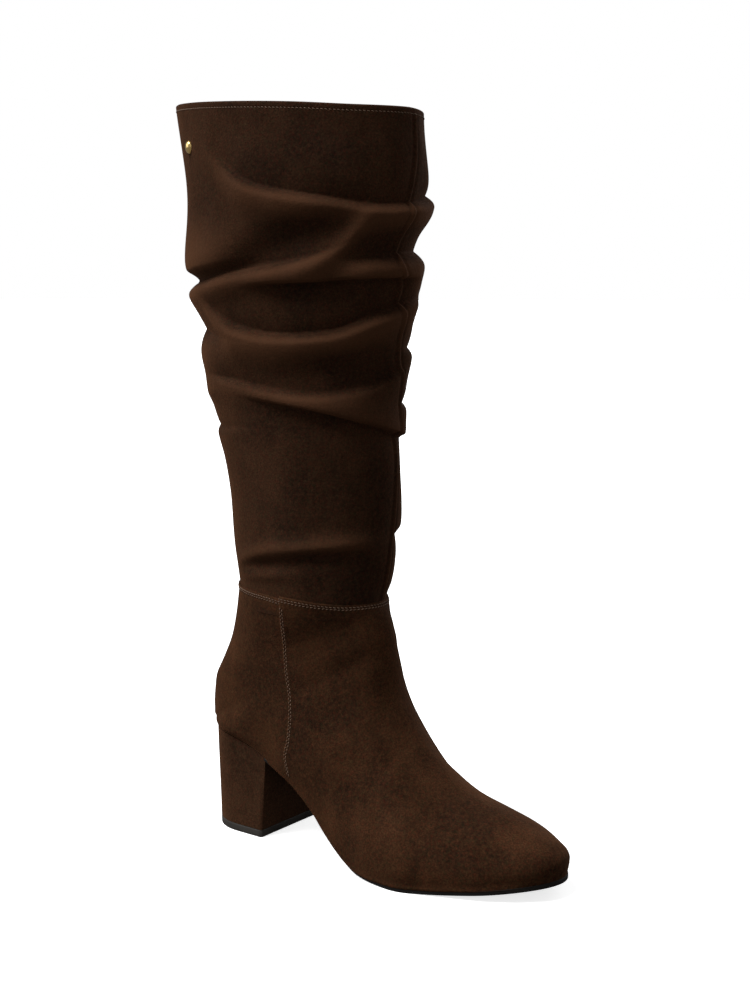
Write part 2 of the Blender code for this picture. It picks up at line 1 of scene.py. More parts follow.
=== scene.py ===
"""The looks of the slouch boot: folded suede, lapped and stitched seams, heel, sole and stud.

Metres, in the CAD's frame. The tables of the last and the shaft are those of the CAD, read here
at a finer step. The folds and the side seam are drawn more finely than there, and the stitches,
turned edges and linings are added.
"""
import math
from collections import namedtuple

import bmesh
import bpy
import numpy as np
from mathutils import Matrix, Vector


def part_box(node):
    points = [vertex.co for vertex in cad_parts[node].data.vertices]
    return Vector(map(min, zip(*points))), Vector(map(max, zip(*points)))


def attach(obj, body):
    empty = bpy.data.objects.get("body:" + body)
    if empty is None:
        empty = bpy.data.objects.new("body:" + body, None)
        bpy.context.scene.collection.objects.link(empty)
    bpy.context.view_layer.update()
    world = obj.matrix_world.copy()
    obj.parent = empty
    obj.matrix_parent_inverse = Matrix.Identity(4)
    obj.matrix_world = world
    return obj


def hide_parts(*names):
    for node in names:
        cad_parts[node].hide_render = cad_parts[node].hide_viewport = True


def table(columns, *rows):
    """Rows of numbers under named columns."""
    row = namedtuple("Row", columns)
    return tuple(row(*numbers) for numbers in rows)


# Driving dimensions of the last and the shaft
LAST_LENGTH = 0.254
BALL_WIDTH = 0.086
SEAT_WIDTH = 0.059
HEEL_RISE = 0.0638
TOE_SPRING = 0.0095
TOE_SWING = 0.004
INSTEP_RISE = 0.157
COUNTER_RISE = 0.0937
ANKLE_DEPTH = 0.1013
ANKLE_WIDTH = 0.0742
COLLAR_DEPTH = 0.169
COLLAR_WIDTH = 0.115
SHAFT_RISE = 0.295
COLLAR_DROP = 0.003
FOLD_SIZE = 0.0060

# Thicknesses, laps and clearances
WALL = 0.0020
LAP = 0.0011
RIB_HEIGHT = 0.0009
SOLE_THICKNESS = 0.0032
SOLE_MARGIN = 0.0008
TIP_THICKNESS = 0.0048
GAP = 0.0003
SEAT_GAP = 0.0005

# Block heel
HEEL_TOP_LENGTH = 0.0590
HEEL_FOOT_LENGTH = 0.0490
HEEL_FOOT_WIDTH = 0.0545
HEEL_FOOT_SET = 0.0035
HEEL_INSET = 0.0010
HEEL_BACK = 0.62
HEEL_BACK_POWER = 2.4
HEEL_CORNER = 0.0008
WAIST = 0.35
EDGE_ROUND = 0.0007

# Brass stud near the collar
STUD_RADIUS = 0.0040
STUD_HEIGHT = 0.0024

# The tread lies flat on the floor between these two shares of the last's length
TREAD_BACK = 0.600
TREAD_FRONT = 0.690
SPRING_POWER = 1.5

# Rise of the shank behind the tread: how far back, and the share of HEEL_RISE reached there
SHANK = table(
    "back rise",
    (0.00, 0.000),
    (0.08, 0.013),
    (0.15, 0.060),
    (0.21, 0.141),
    (0.28, 0.266),
    (0.34, 0.401),
    (0.41, 0.542),
    (0.48, 0.657),
    (0.55, 0.742),
    (0.62, 0.818),
    (0.72, 0.897),
    (0.86, 0.966),
    (1.00, 1.000),
)

# Outline of the last's bottom: along the length, then each side in shares of BALL_WIDTH
OUTLINE = table(
    "along outer inner",
    (0.000, 0.345, 0.345),
    (0.120, 0.362, 0.350),
    (0.245, 0.374, 0.325),
    (0.375, 0.384, 0.285),
    (0.490, 0.445, 0.300),
    (0.590, 0.522, 0.375),
    (0.660, 0.540, 0.440),
    (0.730, 0.492, 0.465),
    (0.805, 0.428, 0.440),
    (0.885, 0.360, 0.385),
    (0.945, 0.310, 0.335),
    (1.000, 0.270, 0.290),
)
SEAT_ROUND = 0.49
TOE_ROUND = 0.042
TOE_POWER = 2.2

# Sections of the last from toe to ankle. Each is a plane seen edge-on from the side: it runs from
# a low point on the sole or the back of the heel to a top point on the ridge of the foot.
# low and top: shares of LAST_LENGTH. low_rise: share of COUNTER_RISE above the seat.
# top_rise: share of INSTEP_RISE above the floor. outer, inner: shares of BALL_WIDTH.
# ridge: the top point's shift to the inner side, in shares of BALL_WIDTH.
# blunt, full: roundness at the low end and at the top end, where 1 is an ellipse.
SECTIONS = table(
    "low low_rise top top_rise outer inner ridge blunt full",
    (1.000, 0, 1.002, 0.108, 0, 0, 0.045, 0.90, 0.90),
    (0.994, 0, 1.000, 0.143, 0.08, 0.08, 0.046, 0.92, 0.92),
    (0.974, 0, 0.980, 0.182, 0.20, 0.20, 0.048, 0.95, 0.97),
    (0.937, 0, 0.940, 0.214, 0.28, 0.26, 0.052, 1.00, 1.06),
    (0.874, 0, 0.876, 0.246, 0.36, 0.34, 0.058, 1.00, 1.14),
    (0.800, 0, 0.800, 0.279, 0.43, 0.42, 0.064, 1.00, 1.22),
    (0.728, 0, 0.728, 0.314, 0.50, 0.45, 0.066, 1.00, 1.26),
    (0.654, 0, 0.664, 0.384, 0.54, 0.43, 0.064, 1.00, 1.24),
    (0.575, 0, 0.612, 0.470, 0.52, 0.40, 0.058, 1.00, 1.18),
    (0.488, 0, 0.574, 0.552, 0.47, 0.39, 0.050, 1.00, 1.12),
    (0.394, 0, 0.549, 0.630, 0.43, 0.39, 0.042, 0.94, 1.08),
    (0.291, 0, 0.536, 0.705, 0.41, 0.39, 0.034, 0.87, 1.04),
    (0.189, 0, 0.529, 0.771, 0.400, 0.390, 0.026, 0.82, 1.00),
    (0.094, 0, 0.523, 0.828, 0.390, 0.385, 0.020, 0.79, 0.98),
    (0.024, 0, 0.518, 0.873, 0.380, 0.378, 0.014, 0.77, 0.97),
    (0.000, 0, 0.513, 0.904, 0.376, 0.374, 0.010, 0.76, 0.97),
    (-0.0115, 0.10, 0.509, 0.927, 0.374, 0.374, 0.008, 0.78, 0.97),
    (-0.005, 0.27, 0.505, 0.946, 0.376, 0.376, 0.006, 0.81, 0.98),
    (0.023, 0.44, 0.501, 0.962, 0.385, 0.385, 0.004, 0.86, 0.99),
    (0.058, 0.64, 0.497, 0.976, 0.402, 0.402, 0.003, 0.92, 1.00),
    (0.078, 0.83, 0.493, 0.989, 0.418, 0.418, 0.001, 0.97, 1.00),
    (0.090, 1.00, 0.489, 1.000, 0.431, 0.431, 0.000, 1.00, 1.00),
)
SEAT_SECTION = 15

# The shaft without its folds: height in shares of SHAFT_RISE, opening from ankle size to collar
# size, and how far the centre stands forward of the ankle's, in shares of ANKLE_DEPTH
SHAFT = table(
    "height open forward",
    (0.000, 0.00, 0.000),
    (0.137, 0.16, 0.012),
    (0.274, 0.28, -0.002),
    (0.411, 0.46, -0.035),
    (0.548, 0.60, -0.045),
    (0.685, 0.80, -0.060),
    (0.822, 0.91, -0.050),
    (1.000, 1.00, -0.100),
)

# Folds of the shaft. start, end: angles round the leg in degrees, from the back over the outer
# side. h0 to h6: height of the fold's line at seven even steps from start to end, in thousandths of
# SHAFT_RISE; a level line repeats one height. The line is a crease, dip deep, from which the
# leather steps out over the distance shelf to a crest that stands out by out. A shelf below 0 lies
# over the crease, and without a shelf the line is the crest itself. lean: how far the crest hangs
# down. above, below: reach of the fold before its line and past its crest. fade: share of its length
# over which each end dies away. dip, out and lean are shares of FOLD_SIZE, and the rest of FOLD_REACH.
FOLD_REACH = 0.010
FOLDS = table(
    "start end h0 h1 h2 h3 h4 h5 h6 dip out lean shelf above below fade",
    # The long ridge under the plain top panel, and its bulge past the front seam
    (64, 250, 955, 846, 822, 809, 818, 836, 845, 0.35, 0.85, 0, 0.60, 2.8, 1.3, 0.16),
    (186, 245, *[850] * 7, 0, 0.38, 0, 0, 1.3, 0.8, 0.35),
    # The bulge that hangs over the deep crease at the back, and the hollow that runs up from it
    (-20, 110, 692, 689, 687, 690, 700, 710, 720, 0, 0.80, 0.6, 0, 2.4, 0.7, 0.40),
    (70, 165, 690, 700, 720, 745, 766, 775, 778, 0, -0.65, 0, 0, 1.1, 0.9, 0.35),
    # The crease over the band, which climbs along the lit diagonal
    (-30, 150, 640, 644, 649, 660, 684, 706, 750, 0.60, 0.66, 0, 0.70, 1.6, 0.8, 0.26),
    (108, 162, 678, 684, 696, 718, 750, 783, 808, 0, 0.66, 0, 0, 0.9, 0.9, 0.40),
    (-30, 84, 604, 604, 604, 602, 599, 594, 590, 0, 0.42, 0, 0, 1.3, 1.2, 0.42),
    # The crease over the front of the band, and the hollow above it
    (130, 250, 702, 710, 715, 718, 719, 719, 719, 0.50, 0.62, 0, 0.80, 1.8, 0.9, 0.20),
    (160, 250, 650, 647, 645, 645, 645, 645, 645, 0, 0.52, 0, 0, 1.0, 0.9, 0.40),
    (142, 240, 742, 745, 748, 748, 746, 742, 740, 0, -0.45, 0, 0, 1.0, 1.2, 0.40),
    # The band's crisp lower edge, over a wide hollow
    (84, 200, 638, 648, 655, 660, 665, 667, 664, 0.70, 0.35, 0.3, -0.30, 2.8, 0.8, 0.28),
    # The hanging curve in the middle of the shaft
    (50, 214, 642, 568, 553, 562, 597, 624, 640, 0.50, 0.85, 0, 0.60, 2.2, 1.3, 0.18),
    (-30, 92, 552, 552, 552, 550, 545, 540, 535, 0.40, 0.50, 0.1, 1.30, 1.6, 1.1, 0.40),
    (100, 188, 488, 487, 490, 492, 490, 482, 470, 0, -0.45, 0, 0, 0.9, 1.0, 0.40),
    # The ridge over the ankle: the crease above it, and its falling lower edge
    (42, 202, 466, 457, 447, 440, 450, 476, 502, 0.40, 0.38, 0, 0.50, 1.8, 1.0, 0.22),
    (70, 240, 424, 410, 398, 376, 352, 338, 335, 0.50, 0.45, 0.4, -0.40, 2.2, 1.0, 0.30),
    # The small ridge just over the ankle seam
    (34, 190, 30, 78, 104, 118, 128, 134, 138, 0, 0.55, 0, 0, 0.6, 0.6, 0.35),
    (40, 172, 40, 62, 80, 92, 101, 106, 108, 0, -0.38, 0, 0, 0.4, 0.6, 0.35),
    (40, 116, 34, 40, 46, 52, 56, 60, 62, 0, 0.26, 0, 0, 0.4, 0.4, 0.45),
    # Bulges and notches that show only in the outline, at the back and at the front
    (-25, 80, 418, 418, 420, 424, 430, 438, 444, 0, 0.48, 0.2, 0, 1.7, 0.8, 0.40),
    (-10, 90, 352, 352, 350, 348, 352, 358, 362, 0.30, 0.15, 0, 0.50, 1.2, 1.0, 0.45),
    (180, 245, 530, 528, 526, 525, 526, 528, 530, 0.40, 0.25, 0, 0.60, 1.2, 1.0, 0.45),
    (182, 245, *[412] * 7, 0.35, 0.20, 0, 0.50, 1.0, 0.8, 0.45),
    (182, 245, 140, 140, 141, 142, 143, 144, 145, 0.40, 0.25, 0.3, -0.60, 1.4, 1.2, 0.45),
    (178, 250, *[222] * 7, 0, 0.32, 0, 0, 1.6, 1.6, 0.40),
    (166, 262, *[55] * 7, 0, 0.42, 0, 0, 1.6, 1.5, 0.40),
    # The inner side of the leg
    (222, 352, 812, 800, 780, 762, 765, 785, 805, 0.40, 0.85, 0.2, 0.60, 2.2, 1.3, 0.30),
    (215, 372, 690, 682, 664, 645, 640, 645, 652, 0.50, 0.85, 0.3, 0.60, 2.2, 1.2, 0.25),
    (205, 350, 610, 590, 560, 548, 552, 565, 580, 0.40, 0.80, 0.2, 0.60, 2.0, 1.2, 0.30),
    (214, 340, 500, 486, 470, 462, 466, 478, 492, 0.30, 0.60, 0.2, 0.60, 1.8, 1.2, 0.30),
    (218, 356, 398, 384, 366, 352, 350, 358, 370, 0.35, 0.55, 0.2, 0.55, 1.8, 1.2, 0.30),
    (222, 345, 150, 136, 122, 114, 116, 126, 140, 0, 0.45, 0, 0, 0.8, 0.8, 0.35),
)
COLLAR_CALM = 0.10
ANKLE_CALM = 0.035

# The collar's edge: how far it stands over its level line, in shares of COLLAR_LIFT, at an angle
COLLAR_LIFT = 0.0024
COLLAR_SHARE = 0.12
COLLAR_LINE = table(
    "angle rise",
    (0, 0.8),
    (35, 1.0),
    (62, 0.6),
    (85, 0.1),
    (115, -0.5),
    (145, -1.0),
    (180, -0.7),
)

# Front seam of the shaft: its angle at a share of the shaft's height
FRONT_SEAM = table(
    "height angle",
    (-0.05, 187),
    (0.110, 187),
    (0.230, 190),
    (0.370, 191),
    (0.470, 188),
    (0.510, 182),
    (0.585, 178),
    (0.650, 177),
    (0.700, 171),
    (0.740, 172),
    (0.800, 176),
    (0.850, 179),
    (0.920, 183),
    (1.000, 185),
)

# Stitching, and the edges that it holds
STITCH_LENGTH = 0.0019
STITCH_PITCH = 0.0024
STITCH_SLANT = 0.00045
THREAD = 0.00052
LAP_ROWS = (0.0011, 0.0026)
SIDE_ROWS = (0.0010, 0.0025)
COLLAR_ROW = 0.0025
COLLAR_EDGE = 0.0012
FURROW = 0.00022
FURROW_WIDTH = 0.0006
THREAD_SIDES = 6
THREAD_RINGS = 6
SIDE_START = 0.03
STITCH_CLEAR = 0.0004

# The leather's own shallow unevenness: height, wavelength and the seed of its waves
Wave = namedtuple("Wave", "height length seed")
FOOT_WAVE = Wave(0.00035, 0.045, 4)
SHAFT_WAVE = Wave(0.0005, 0.055, 9)
WAVES = 14

# Lapped edge of the foot over the shaft: over is how far it reaches past the ankle line, in shares
# of LAP, at a share of the ankle's depth ahead of the side seam. The vamp laps over the counter.
LAP_START = 0.91
LAP_EDGE = table(
    "ahead over",
    (-0.55, 2.9),
    (-0.34, 2.9),
    (-0.10, 2.4),
    (-0.001, 1.4),
    (0.001, 3.3),
    (0.12, 2.2),
    (0.24, 1.0),
    (0.36, 0.0),
)

# The vamp and counter are lifted by LAP over the ankle, from LAP_FROM of the way up, and by less
# on the counter. Ahead of the side seam's step the vamp swells a little.
LAP_FROM = 0.45
COUNTER_LAP = 0.65
STEP_SET = 0.0002
STEP_WIDTH = 0.0008
SWELL = 0.0004
SWELL_AT = 0.0025
SWELL_WIDTH = 0.0022

# Ribs of the back and front seams, the valleys beside them, and where they end below the collar
RIB_REACH = 0.0011
VALLEY = 0.4
VALLEY_AT = 0.0028
VALLEY_REACH = 0.0012
RIB_FADE = 0.006

# The shaft stands out a little behind the foot's lap, and the lining lies clear of the collar's
# turned edge
BASE_LIFT = 0.35
BASE_REACH = 0.03
LINING_GAP = 0.0004
LINING_PLAIN = 0.93

# The counter rolls in over the heel, the upper's edge covers the top of the sole's side by HEM,
# and the sole is thin and set in under the arch. The rows of the toe are smoothed round its tip.
ROLL = 0.0013
ROLL_RISE = 0.0060
ROLL_WIDTH = 0.0030
ROLL_UNDER = 0.0022
HEM = 0.0011
HEM_FLARE = 0.6
HEM_TUCK = 0.0014
HEM_START = 0.004
SOLE_PROUD = 0.4 * HEM
TOE_SMOOTH_FROM = 0.88
TOE_PASSES = 30
ARCH_END = 0.70
ARCH_FADE = 0.25
ARCH_THIN = 0.45
ARCH_INSET = 0.0006

# How finely the surfaces are divided
FOOT_STEPS = 230
FOOT_EDGE_STEPS = 50
FOOT_EDGE = 0.09
SHAFT_STEPS = 360
SHAFT_EDGE_STEPS = 40
SHAFT_EDGE = 0.03
SEAM_STEPS = 22
SEAM_SPAN = 0.10
REAR_STEPS = 80
FRONT_STEPS = 120
HEEL_STEPS = 60

# The photograph's view: the camera's place in the boot's own frame, and its lens
CAMERA_AT = (0.6638, -0.7178, 0.3451)
CAMERA_AIM = (0.1223, 0.0)
CAMERA_DIP = math.radians(7.94)
CAMERA_LENS = 54.3

# How much the suede is lightened on fold crests and raised seam edges, a painted highlight with some rub
# wear, and darkened in the creases and beside the seam ribs, a painted shade
PAINTED_HIGHLIGHT = 0.62
PAINTED_SHADE = 0.10

# Side seam of the foot: its place in shares of LAST_LENGTH, at a share of the way up from the sole
# to the ankle seam
SIDE_SEAM = table(
    "rise along",
    (0.00, 0.313),
    (0.18, 0.308),
    (0.36, 0.316),
    (0.55, 0.320),
    (0.80, 0.302),
    (1.00, 0.309),
)
SEAM_FADE = 0.060


def between(xs, ys, at):
    """Monotone cubic through the points (xs, ys), read at one number or an array of them."""
    xs = np.asarray(xs, float)
    ys = np.asarray(ys, float)
    step = np.diff(xs)
    rise = np.diff(ys) / step
    slope = np.zeros(len(xs))
    slope[0], slope[-1] = rise[0], rise[-1]
    same_way = rise[:-1] * rise[1:] > 0
    near = 2 * step[1:] + step[:-1]
    far = step[1:] + 2 * step[:-1]
    with np.errstate(divide="ignore", invalid="ignore"):
        mean = (near + far) / (near / rise[:-1] + far / rise[1:])
    slope[1:-1] = np.where(same_way, mean, 0.0)
    at = np.clip(np.asarray(at, float), xs[0], xs[-1])
    k = np.clip(np.searchsorted(xs, at, side="right") - 1, 0, len(xs) - 2)
    t = (at - xs[k]) / step[k]
    return (
        (1 + 2 * t) * (1 - t) ** 2 * ys[k]
        + t * (1 - t) ** 2 * step[k] * slope[k]
        + t ** 2 * (3 - 2 * t) * ys[k + 1]
        - t ** 2 * (1 - t) * step[k] * slope[k + 1]
    )


def column(rows, name, at):
    """One named column of a table, read between its rows by the first column."""
    return between([row[0] for row in rows], [getattr(row, name) for row in rows], at)


def held(t):
    """A number or an array held between 0 and 1."""
    return np.clip(t, 0.0, 1.0)


def ease(t):
    """0 to 1 with level ends."""
    t = held(t)
    return t * t * (3 - 2 * t)


def unit(vectors):
    """The same vectors at length 1."""
    return vectors / np.maximum(np.linalg.norm(vectors, axis=-1, keepdims=True), 1e-12)


def tread(x):
    """Height of the outsole's underside above the floor."""
    along = held(np.asarray(x, float) / LAST_LENGTH)
    back = held((TREAD_BACK - along) / TREAD_BACK)
    front = held((along - TREAD_FRONT) / (1 - TREAD_FRONT))
    return HEEL_RISE * column(SHANK, "rise", back) + TOE_SPRING * front ** SPRING_POWER


def feather(x):
    """Height of the upper's lower edge, just above the outsole."""
    return tread(x) + SOLE_THICKNESS + GAP


def toe_line(x):
    """The last's middle line, which swings inwards at the toe."""
    along = held(np.asarray(x, float) / LAST_LENGTH)
    return TOE_SWING * ease((along - TREAD_BACK) / (1 - TREAD_BACK))


def bottom_width(x, side):
    """Half-width of the last's bottom on one side: -1 is the outer side, 1 the inner."""
    x = np.clip(np.asarray(x, float), 0.0, LAST_LENGTH)
    name = "outer" if side < 0 else "inner"
    wide = BALL_WIDTH * column(OUTLINE, name, x / LAST_LENGTH)
    seat_round = SEAT_ROUND * SEAT_WIDTH
    back = held(1 - x / seat_round)
    toe = held((x - LAST_LENGTH + TOE_ROUND) / TOE_ROUND)
    seat_share = SEAT_WIDTH / (2 * BALL_WIDTH * OUTLINE[0].outer)
    seat = 1 + (seat_share - 1) * (1 - ease(x / (TREAD_BACK * LAST_LENGTH)))
    return wide * seat * np.sqrt(1 - back ** 2) * np.sqrt(1 - toe ** TOE_POWER)


def low_point(s):
    """Side view of a section's low end: on the sole's edge, then up the back of the heel."""
    x = LAST_LENGTH * section(s, "low")
    z = feather(x) + COUNTER_RISE * section(s, "low_rise")
    return x, z


def top_point(s):
    """Side view of a section's top end, on the ridge of the foot."""
    x = LAST_LENGTH * section(s, "top")
    z = INSTEP_RISE * section(s, "top_rise")
    return x, z


SECTION_STEPS = np.linspace(0, len(SECTIONS) - 1, 4001)
SECTION_CURVES = {
    name: between(range(len(SECTIONS)), [getattr(row, name) for row in SECTIONS], SECTION_STEPS)
    for name in SECTIONS[0]._fields
}


def section(s, name):
    """One column of the last's sections, read at whole or broken row numbers."""
    return np.interp(s, SECTION_STEPS, SECTION_CURVES[name])


def foot_side(x, z, side):
    """y of the last's surface on one side, over a point of the side view."""
    near = np.zeros_like(x)
    far = np.full_like(x, len(SECTIONS) - 1.0)
    for _ in range(26):
        middle = (near + far) / 2
        low_x, low_z = low_point(middle)
        top_x, top_z = top_point(middle)
        ahead = (top_x - low_x) * (z - low_z) - (top_z - low_z) * (x - low_x)
        far = np.where(ahead < 0, middle, far)
        near = np.where(ahead < 0, near, middle)
    s = (near + far) / 2
    low_x, low_z = low_point(s)
    top_x, top_z = top_point(s)
    reach = np.hypot(top_x - low_x, top_z - low_z)
    t = held(np.hypot(x - low_x, z - low_z) / np.maximum(reach, 1e-9))
    edge = np.where(s < SEAT_SECTION, bottom_width(low_x, side), 0.0)
    wide = np.maximum(BALL_WIDTH * section(s, "outer" if side < 0 else "inner"), edge * 1.03)
    blunt = section(s, "blunt")
    full = blunt + (section(s, "full") - blunt) * ease(t)
    start_sine = held(edge / np.maximum(wide, 1e-9)) ** (1 / blunt)
    start = np.sqrt(1 - start_sine ** 2)
    cosine = start - t * (1 + start)
    half = wide * np.sqrt(held(1 - cosine ** 2)) ** full
    middle_line = toe_line(low_x) * (1 - t) + BALL_WIDTH * section(s, "ridge") * t
    return middle_line + side * half


def run_along(point, start, end, shares):
    """Row numbers at shares of the arc length of a section-end curve, from start to end."""
    rows = np.linspace(start, end, 3000)
    x, z = point(rows)
    length = np.concatenate([[0.0], np.cumsum(np.hypot(np.diff(x), np.diff(z)))])
    return np.interp(shares * length[-1], length, rows)


def seam_x(rise):
    """x of the side seam at a share of the way up from sole to ankle seam."""
    return LAST_LENGTH * column(SIDE_SEAM, "along", rise)


def side_columns():
    """Column places from the back (-1) over the side seam (0) to the front (1), close together
    at the seam."""
    near = np.linspace(0.0, SEAM_SPAN, SEAM_STEPS)
    rear = SEAM_SPAN + (1 - SEAM_SPAN) * np.linspace(0, 1, REAR_STEPS - SEAM_STEPS + 1)
    front = SEAM_SPAN + (1 - SEAM_SPAN) * np.linspace(0, 1, FRONT_STEPS - SEAM_STEPS + 1)
    return np.concatenate([-rear[::-1], -near[-2:0:-1], near, front[1:]])


def foot_grid(rises, columns):
    """Points of the foot's surface: a row for each rise, and in it the outer side from back to
    front, then the inner side from front to back. Also each point's distance ahead of the side
    seam."""
    last = len(SECTIONS) - 1
    rise = held(rises)[:, None]
    back_x, back_z = low_point(run_along(low_point, SEAT_SECTION, last, rise))
    front_x, front_z = top_point(run_along(top_point, 0, last, rise ** 1.12))
    toe_x, toe_z = low_point(np.zeros(1))
    front_x = np.where(rise == 0, toe_x, front_x)
    front_z = np.where(rise == 0, toe_z, front_z)
    seam_turn = np.arccos(1 - 2 * (seam_x(rise) - back_x) / (front_x - back_x))
    place = columns[None, :]
    turn = np.where(place < 0, seam_turn * (1 + place), seam_turn + (math.pi - seam_turn) * place)
    share = (1 - np.cos(turn)) / 2
    x = back_x + (front_x - back_x) * share
    ends = feather(0.0), feather(LAST_LENGTH)
    dip = feather(share * LAST_LENGTH) - ends[0] - (ends[1] - ends[0]) * share
    z = back_z + (front_z - back_z) * share + (1 - rise) ** 2 * dip
    halves = []
    for side in (-1, 1):
        y = foot_side(x, z, side)
        y[0] = toe_line(x[0]) + side * bottom_width(x[0], side)
        halves.append(np.stack([x, y, z], axis=-1))
    middle = (halves[0][..., 1] + halves[1][..., 1]) / 2
    for half in halves:
        half[:, 0, 1] = middle[:, 0]
        half[:, -1, 1] = middle[:, -1]
    grid = np.concatenate([halves[0], halves[1][:, -2:0:-1]], axis=1)
    return grid, grid[..., 0] - seam_x(rise)


def shaft_grid(heights, places):
    """Points of the shaft without its folds: a row for each height, and in it angles round the
    leg in degrees. Also the true angles, which swing with the front seam."""
    last = len(SECTIONS) - 1
    back_x, back_z = low_point(float(last))
    front_x, front_z = top_point(float(last))
    height = heights[:, None]
    swing = column(FRONT_SEAM, "angle", heights)[:, None] - 180
    angle = places[None, :] + swing * np.exp(-((places[None, :] - 180) / 26) ** 2)
    open_share = column(SHAFT, "open", height)
    depth = (front_x - back_x) + open_share * (COLLAR_DEPTH - ANKLE_DEPTH)
    width = ANKLE_WIDTH + open_share * (COLLAR_WIDTH - ANKLE_WIDTH)
    centre = (back_x + front_x) / 2 + ANKLE_DEPTH * column(SHAFT, "forward", height)
    turn = np.radians(angle)
    share = (1 - np.cos(turn)) / 2
    x = centre + depth * (share - 0.5)
    y = -width / 2 * np.sin(turn)
    z = back_z + (front_z - back_z) * share + (SHAFT_RISE - COLLAR_DROP * share) * height
    return np.stack([x, y, z], axis=-1), angle


def fold_profile(fold, under):
    """Relief of a fold at a distance under its line, in shares of FOLD_REACH."""
    if fold.shelf == 0:
        reach = np.where(under < 0, fold.above, fold.below)
        return fold.out * np.exp(-(under / reach) ** 2)
    past = under * math.copysign(1, fold.shelf)
    width = abs(fold.shelf)
    before = -fold.dip * held(1 + past / fold.above) ** 2
    step = (fold.dip + fold.out) * (1 - (1 - held(past / width)) ** 2) - fold.dip
    after = fold.out * np.exp(-(np.maximum(past - width, 0.0) / fold.below) ** 2)
    return np.where(past < 0, before, np.where(past < width, step, after))


def fold_shift(height, angle):
    """Outward and downward shift of the folds."""
    out = np.zeros_like(angle)
    down = np.zeros_like(angle)
    for fold in FOLDS:
        along = ((angle - fold.start) % 360) / (fold.end - fold.start)
        inside = along < 1
        along = held(along)
        line = between(np.linspace(0, 1, 7), fold[2:9], along) / 1000
        window = ease(along / fold.fade) * ease((1 - along) / fold.fade) * inside
        relief = window * fold_profile(fold, (line - height) * SHAFT_RISE / FOLD_REACH)
        out += relief
        down += fold.lean * np.maximum(relief, 0.0)
    calm = ease(height / ANKLE_CALM) * ease((1 - height) / COLLAR_CALM)
    return FOLD_SIZE * out * calm, FOLD_SIZE * down * calm


def grid_normals(grid):
    """Unit outward normals of a grid of closed rows."""
    round_row = np.roll(grid, -1, axis=1) - np.roll(grid, 1, axis=1)
    up_row = np.gradient(grid, axis=0)
    return unit(np.cross(round_row, up_row))


def arc_up(grid):
    """Distance of each point from its column's first row, along the column."""
    step = np.linalg.norm(np.diff(grid, axis=0), axis=-1)
    return np.concatenate([np.zeros((1, grid.shape[1])), np.cumsum(step, axis=0)])


def below_top(grid):
    """Distance of each point from its column's last row, along the column."""
    up = arc_up(grid)
    return up[-1] - up


def furrow(distance, rows):
    """Depth of the furrows that stitching pulls in at the given distances."""
    return sum(FURROW * np.exp(-((distance - row) / FURROW_WIDTH) ** 2) for row in rows)


def read_at(places, run, points):
    """Points at the given places of a line, whose own points lie at the places in run."""
    return np.stack([np.interp(places, run, points[:, k]) for k in range(3)], axis=-1)


def fade_rows(count, close, share):
    """0 to 1 in steps that are fine over the last share, where the edge and stitching are."""
    body = np.linspace(0.0, 1 - share, count - close, endpoint=False)
    return np.concatenate([body, np.linspace(1 - share, 1.0, close)])


def soft_waves(grid, wave):
    """Shallow unevenness of the leather: waves of about one length, in any direction."""
    rng = np.random.default_rng(wave.seed)
    total = np.zeros(grid.shape[:-1])
    for _ in range(WAVES):
        way = rng.normal(size=3)
        way /= np.linalg.norm(way)
        length = wave.length * rng.uniform(0.7, 1.6)
        total += np.sin(grid @ way * 2 * math.pi / length + rng.uniform(0, 6.3))
    return wave.height * (total / WAVES ** 0.5)


def new_mesh(name, points, faces, finish):
    """A smooth mesh with one material."""
    mesh = bpy.data.meshes.new(name)
    mesh.from_pydata(points, [], faces)
    mesh.shade_smooth()
    mesh.materials.append(finish)
    return mesh


def mesh_of_rows(name, rows, finish, wear_and_painted_light=None):
    """A sheet through closed rows of points. The per-point value, from -1 to 1, lightens the suede as a
    painted highlight with some rub wear, or darkens it as a painted shade.
    """
    rows = np.asarray(rows)
    count, wide = rows.shape[:2]
    lower = np.arange(count - 1)[:, None] * wide
    k = np.arange(wide)[None, :]
    m = (k + 1) % wide
    faces = np.stack([lower + k, lower + m, lower + wide + m, lower + wide + k], axis=-1)
    mesh = new_mesh(name, rows.reshape(-1, 3).tolist(), faces.reshape(-1, 4).tolist(), finish)
    if wear_and_painted_light is not None:
        layer = mesh.attributes.new("wear_and_painted_light", "FLOAT", "POINT")
        layer.data.foreach_set("value", np.ascontiguousarray(wear_and_painted_light, dtype=np.float32).ravel())
    return mesh


def add_piece(mesh, slot, *nodes):
    """A shown piece that rides on the boot and stands for the named CAD nodes."""
    piece = bpy.data.objects.new(mesh.name, mesh)
    piece.location = SHIFT
    bpy.context.scene.collection.objects.link(piece)
    bpy.context.view_layer.update()
    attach(piece, "root")
    if nodes:
        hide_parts(*nodes)


def foot_rises():
    """The rows of the foot, in shares of the way up from the sole to the ankle seam."""
    return fade_rows(FOOT_STEPS, FOOT_EDGE_STEPS, FOOT_EDGE)


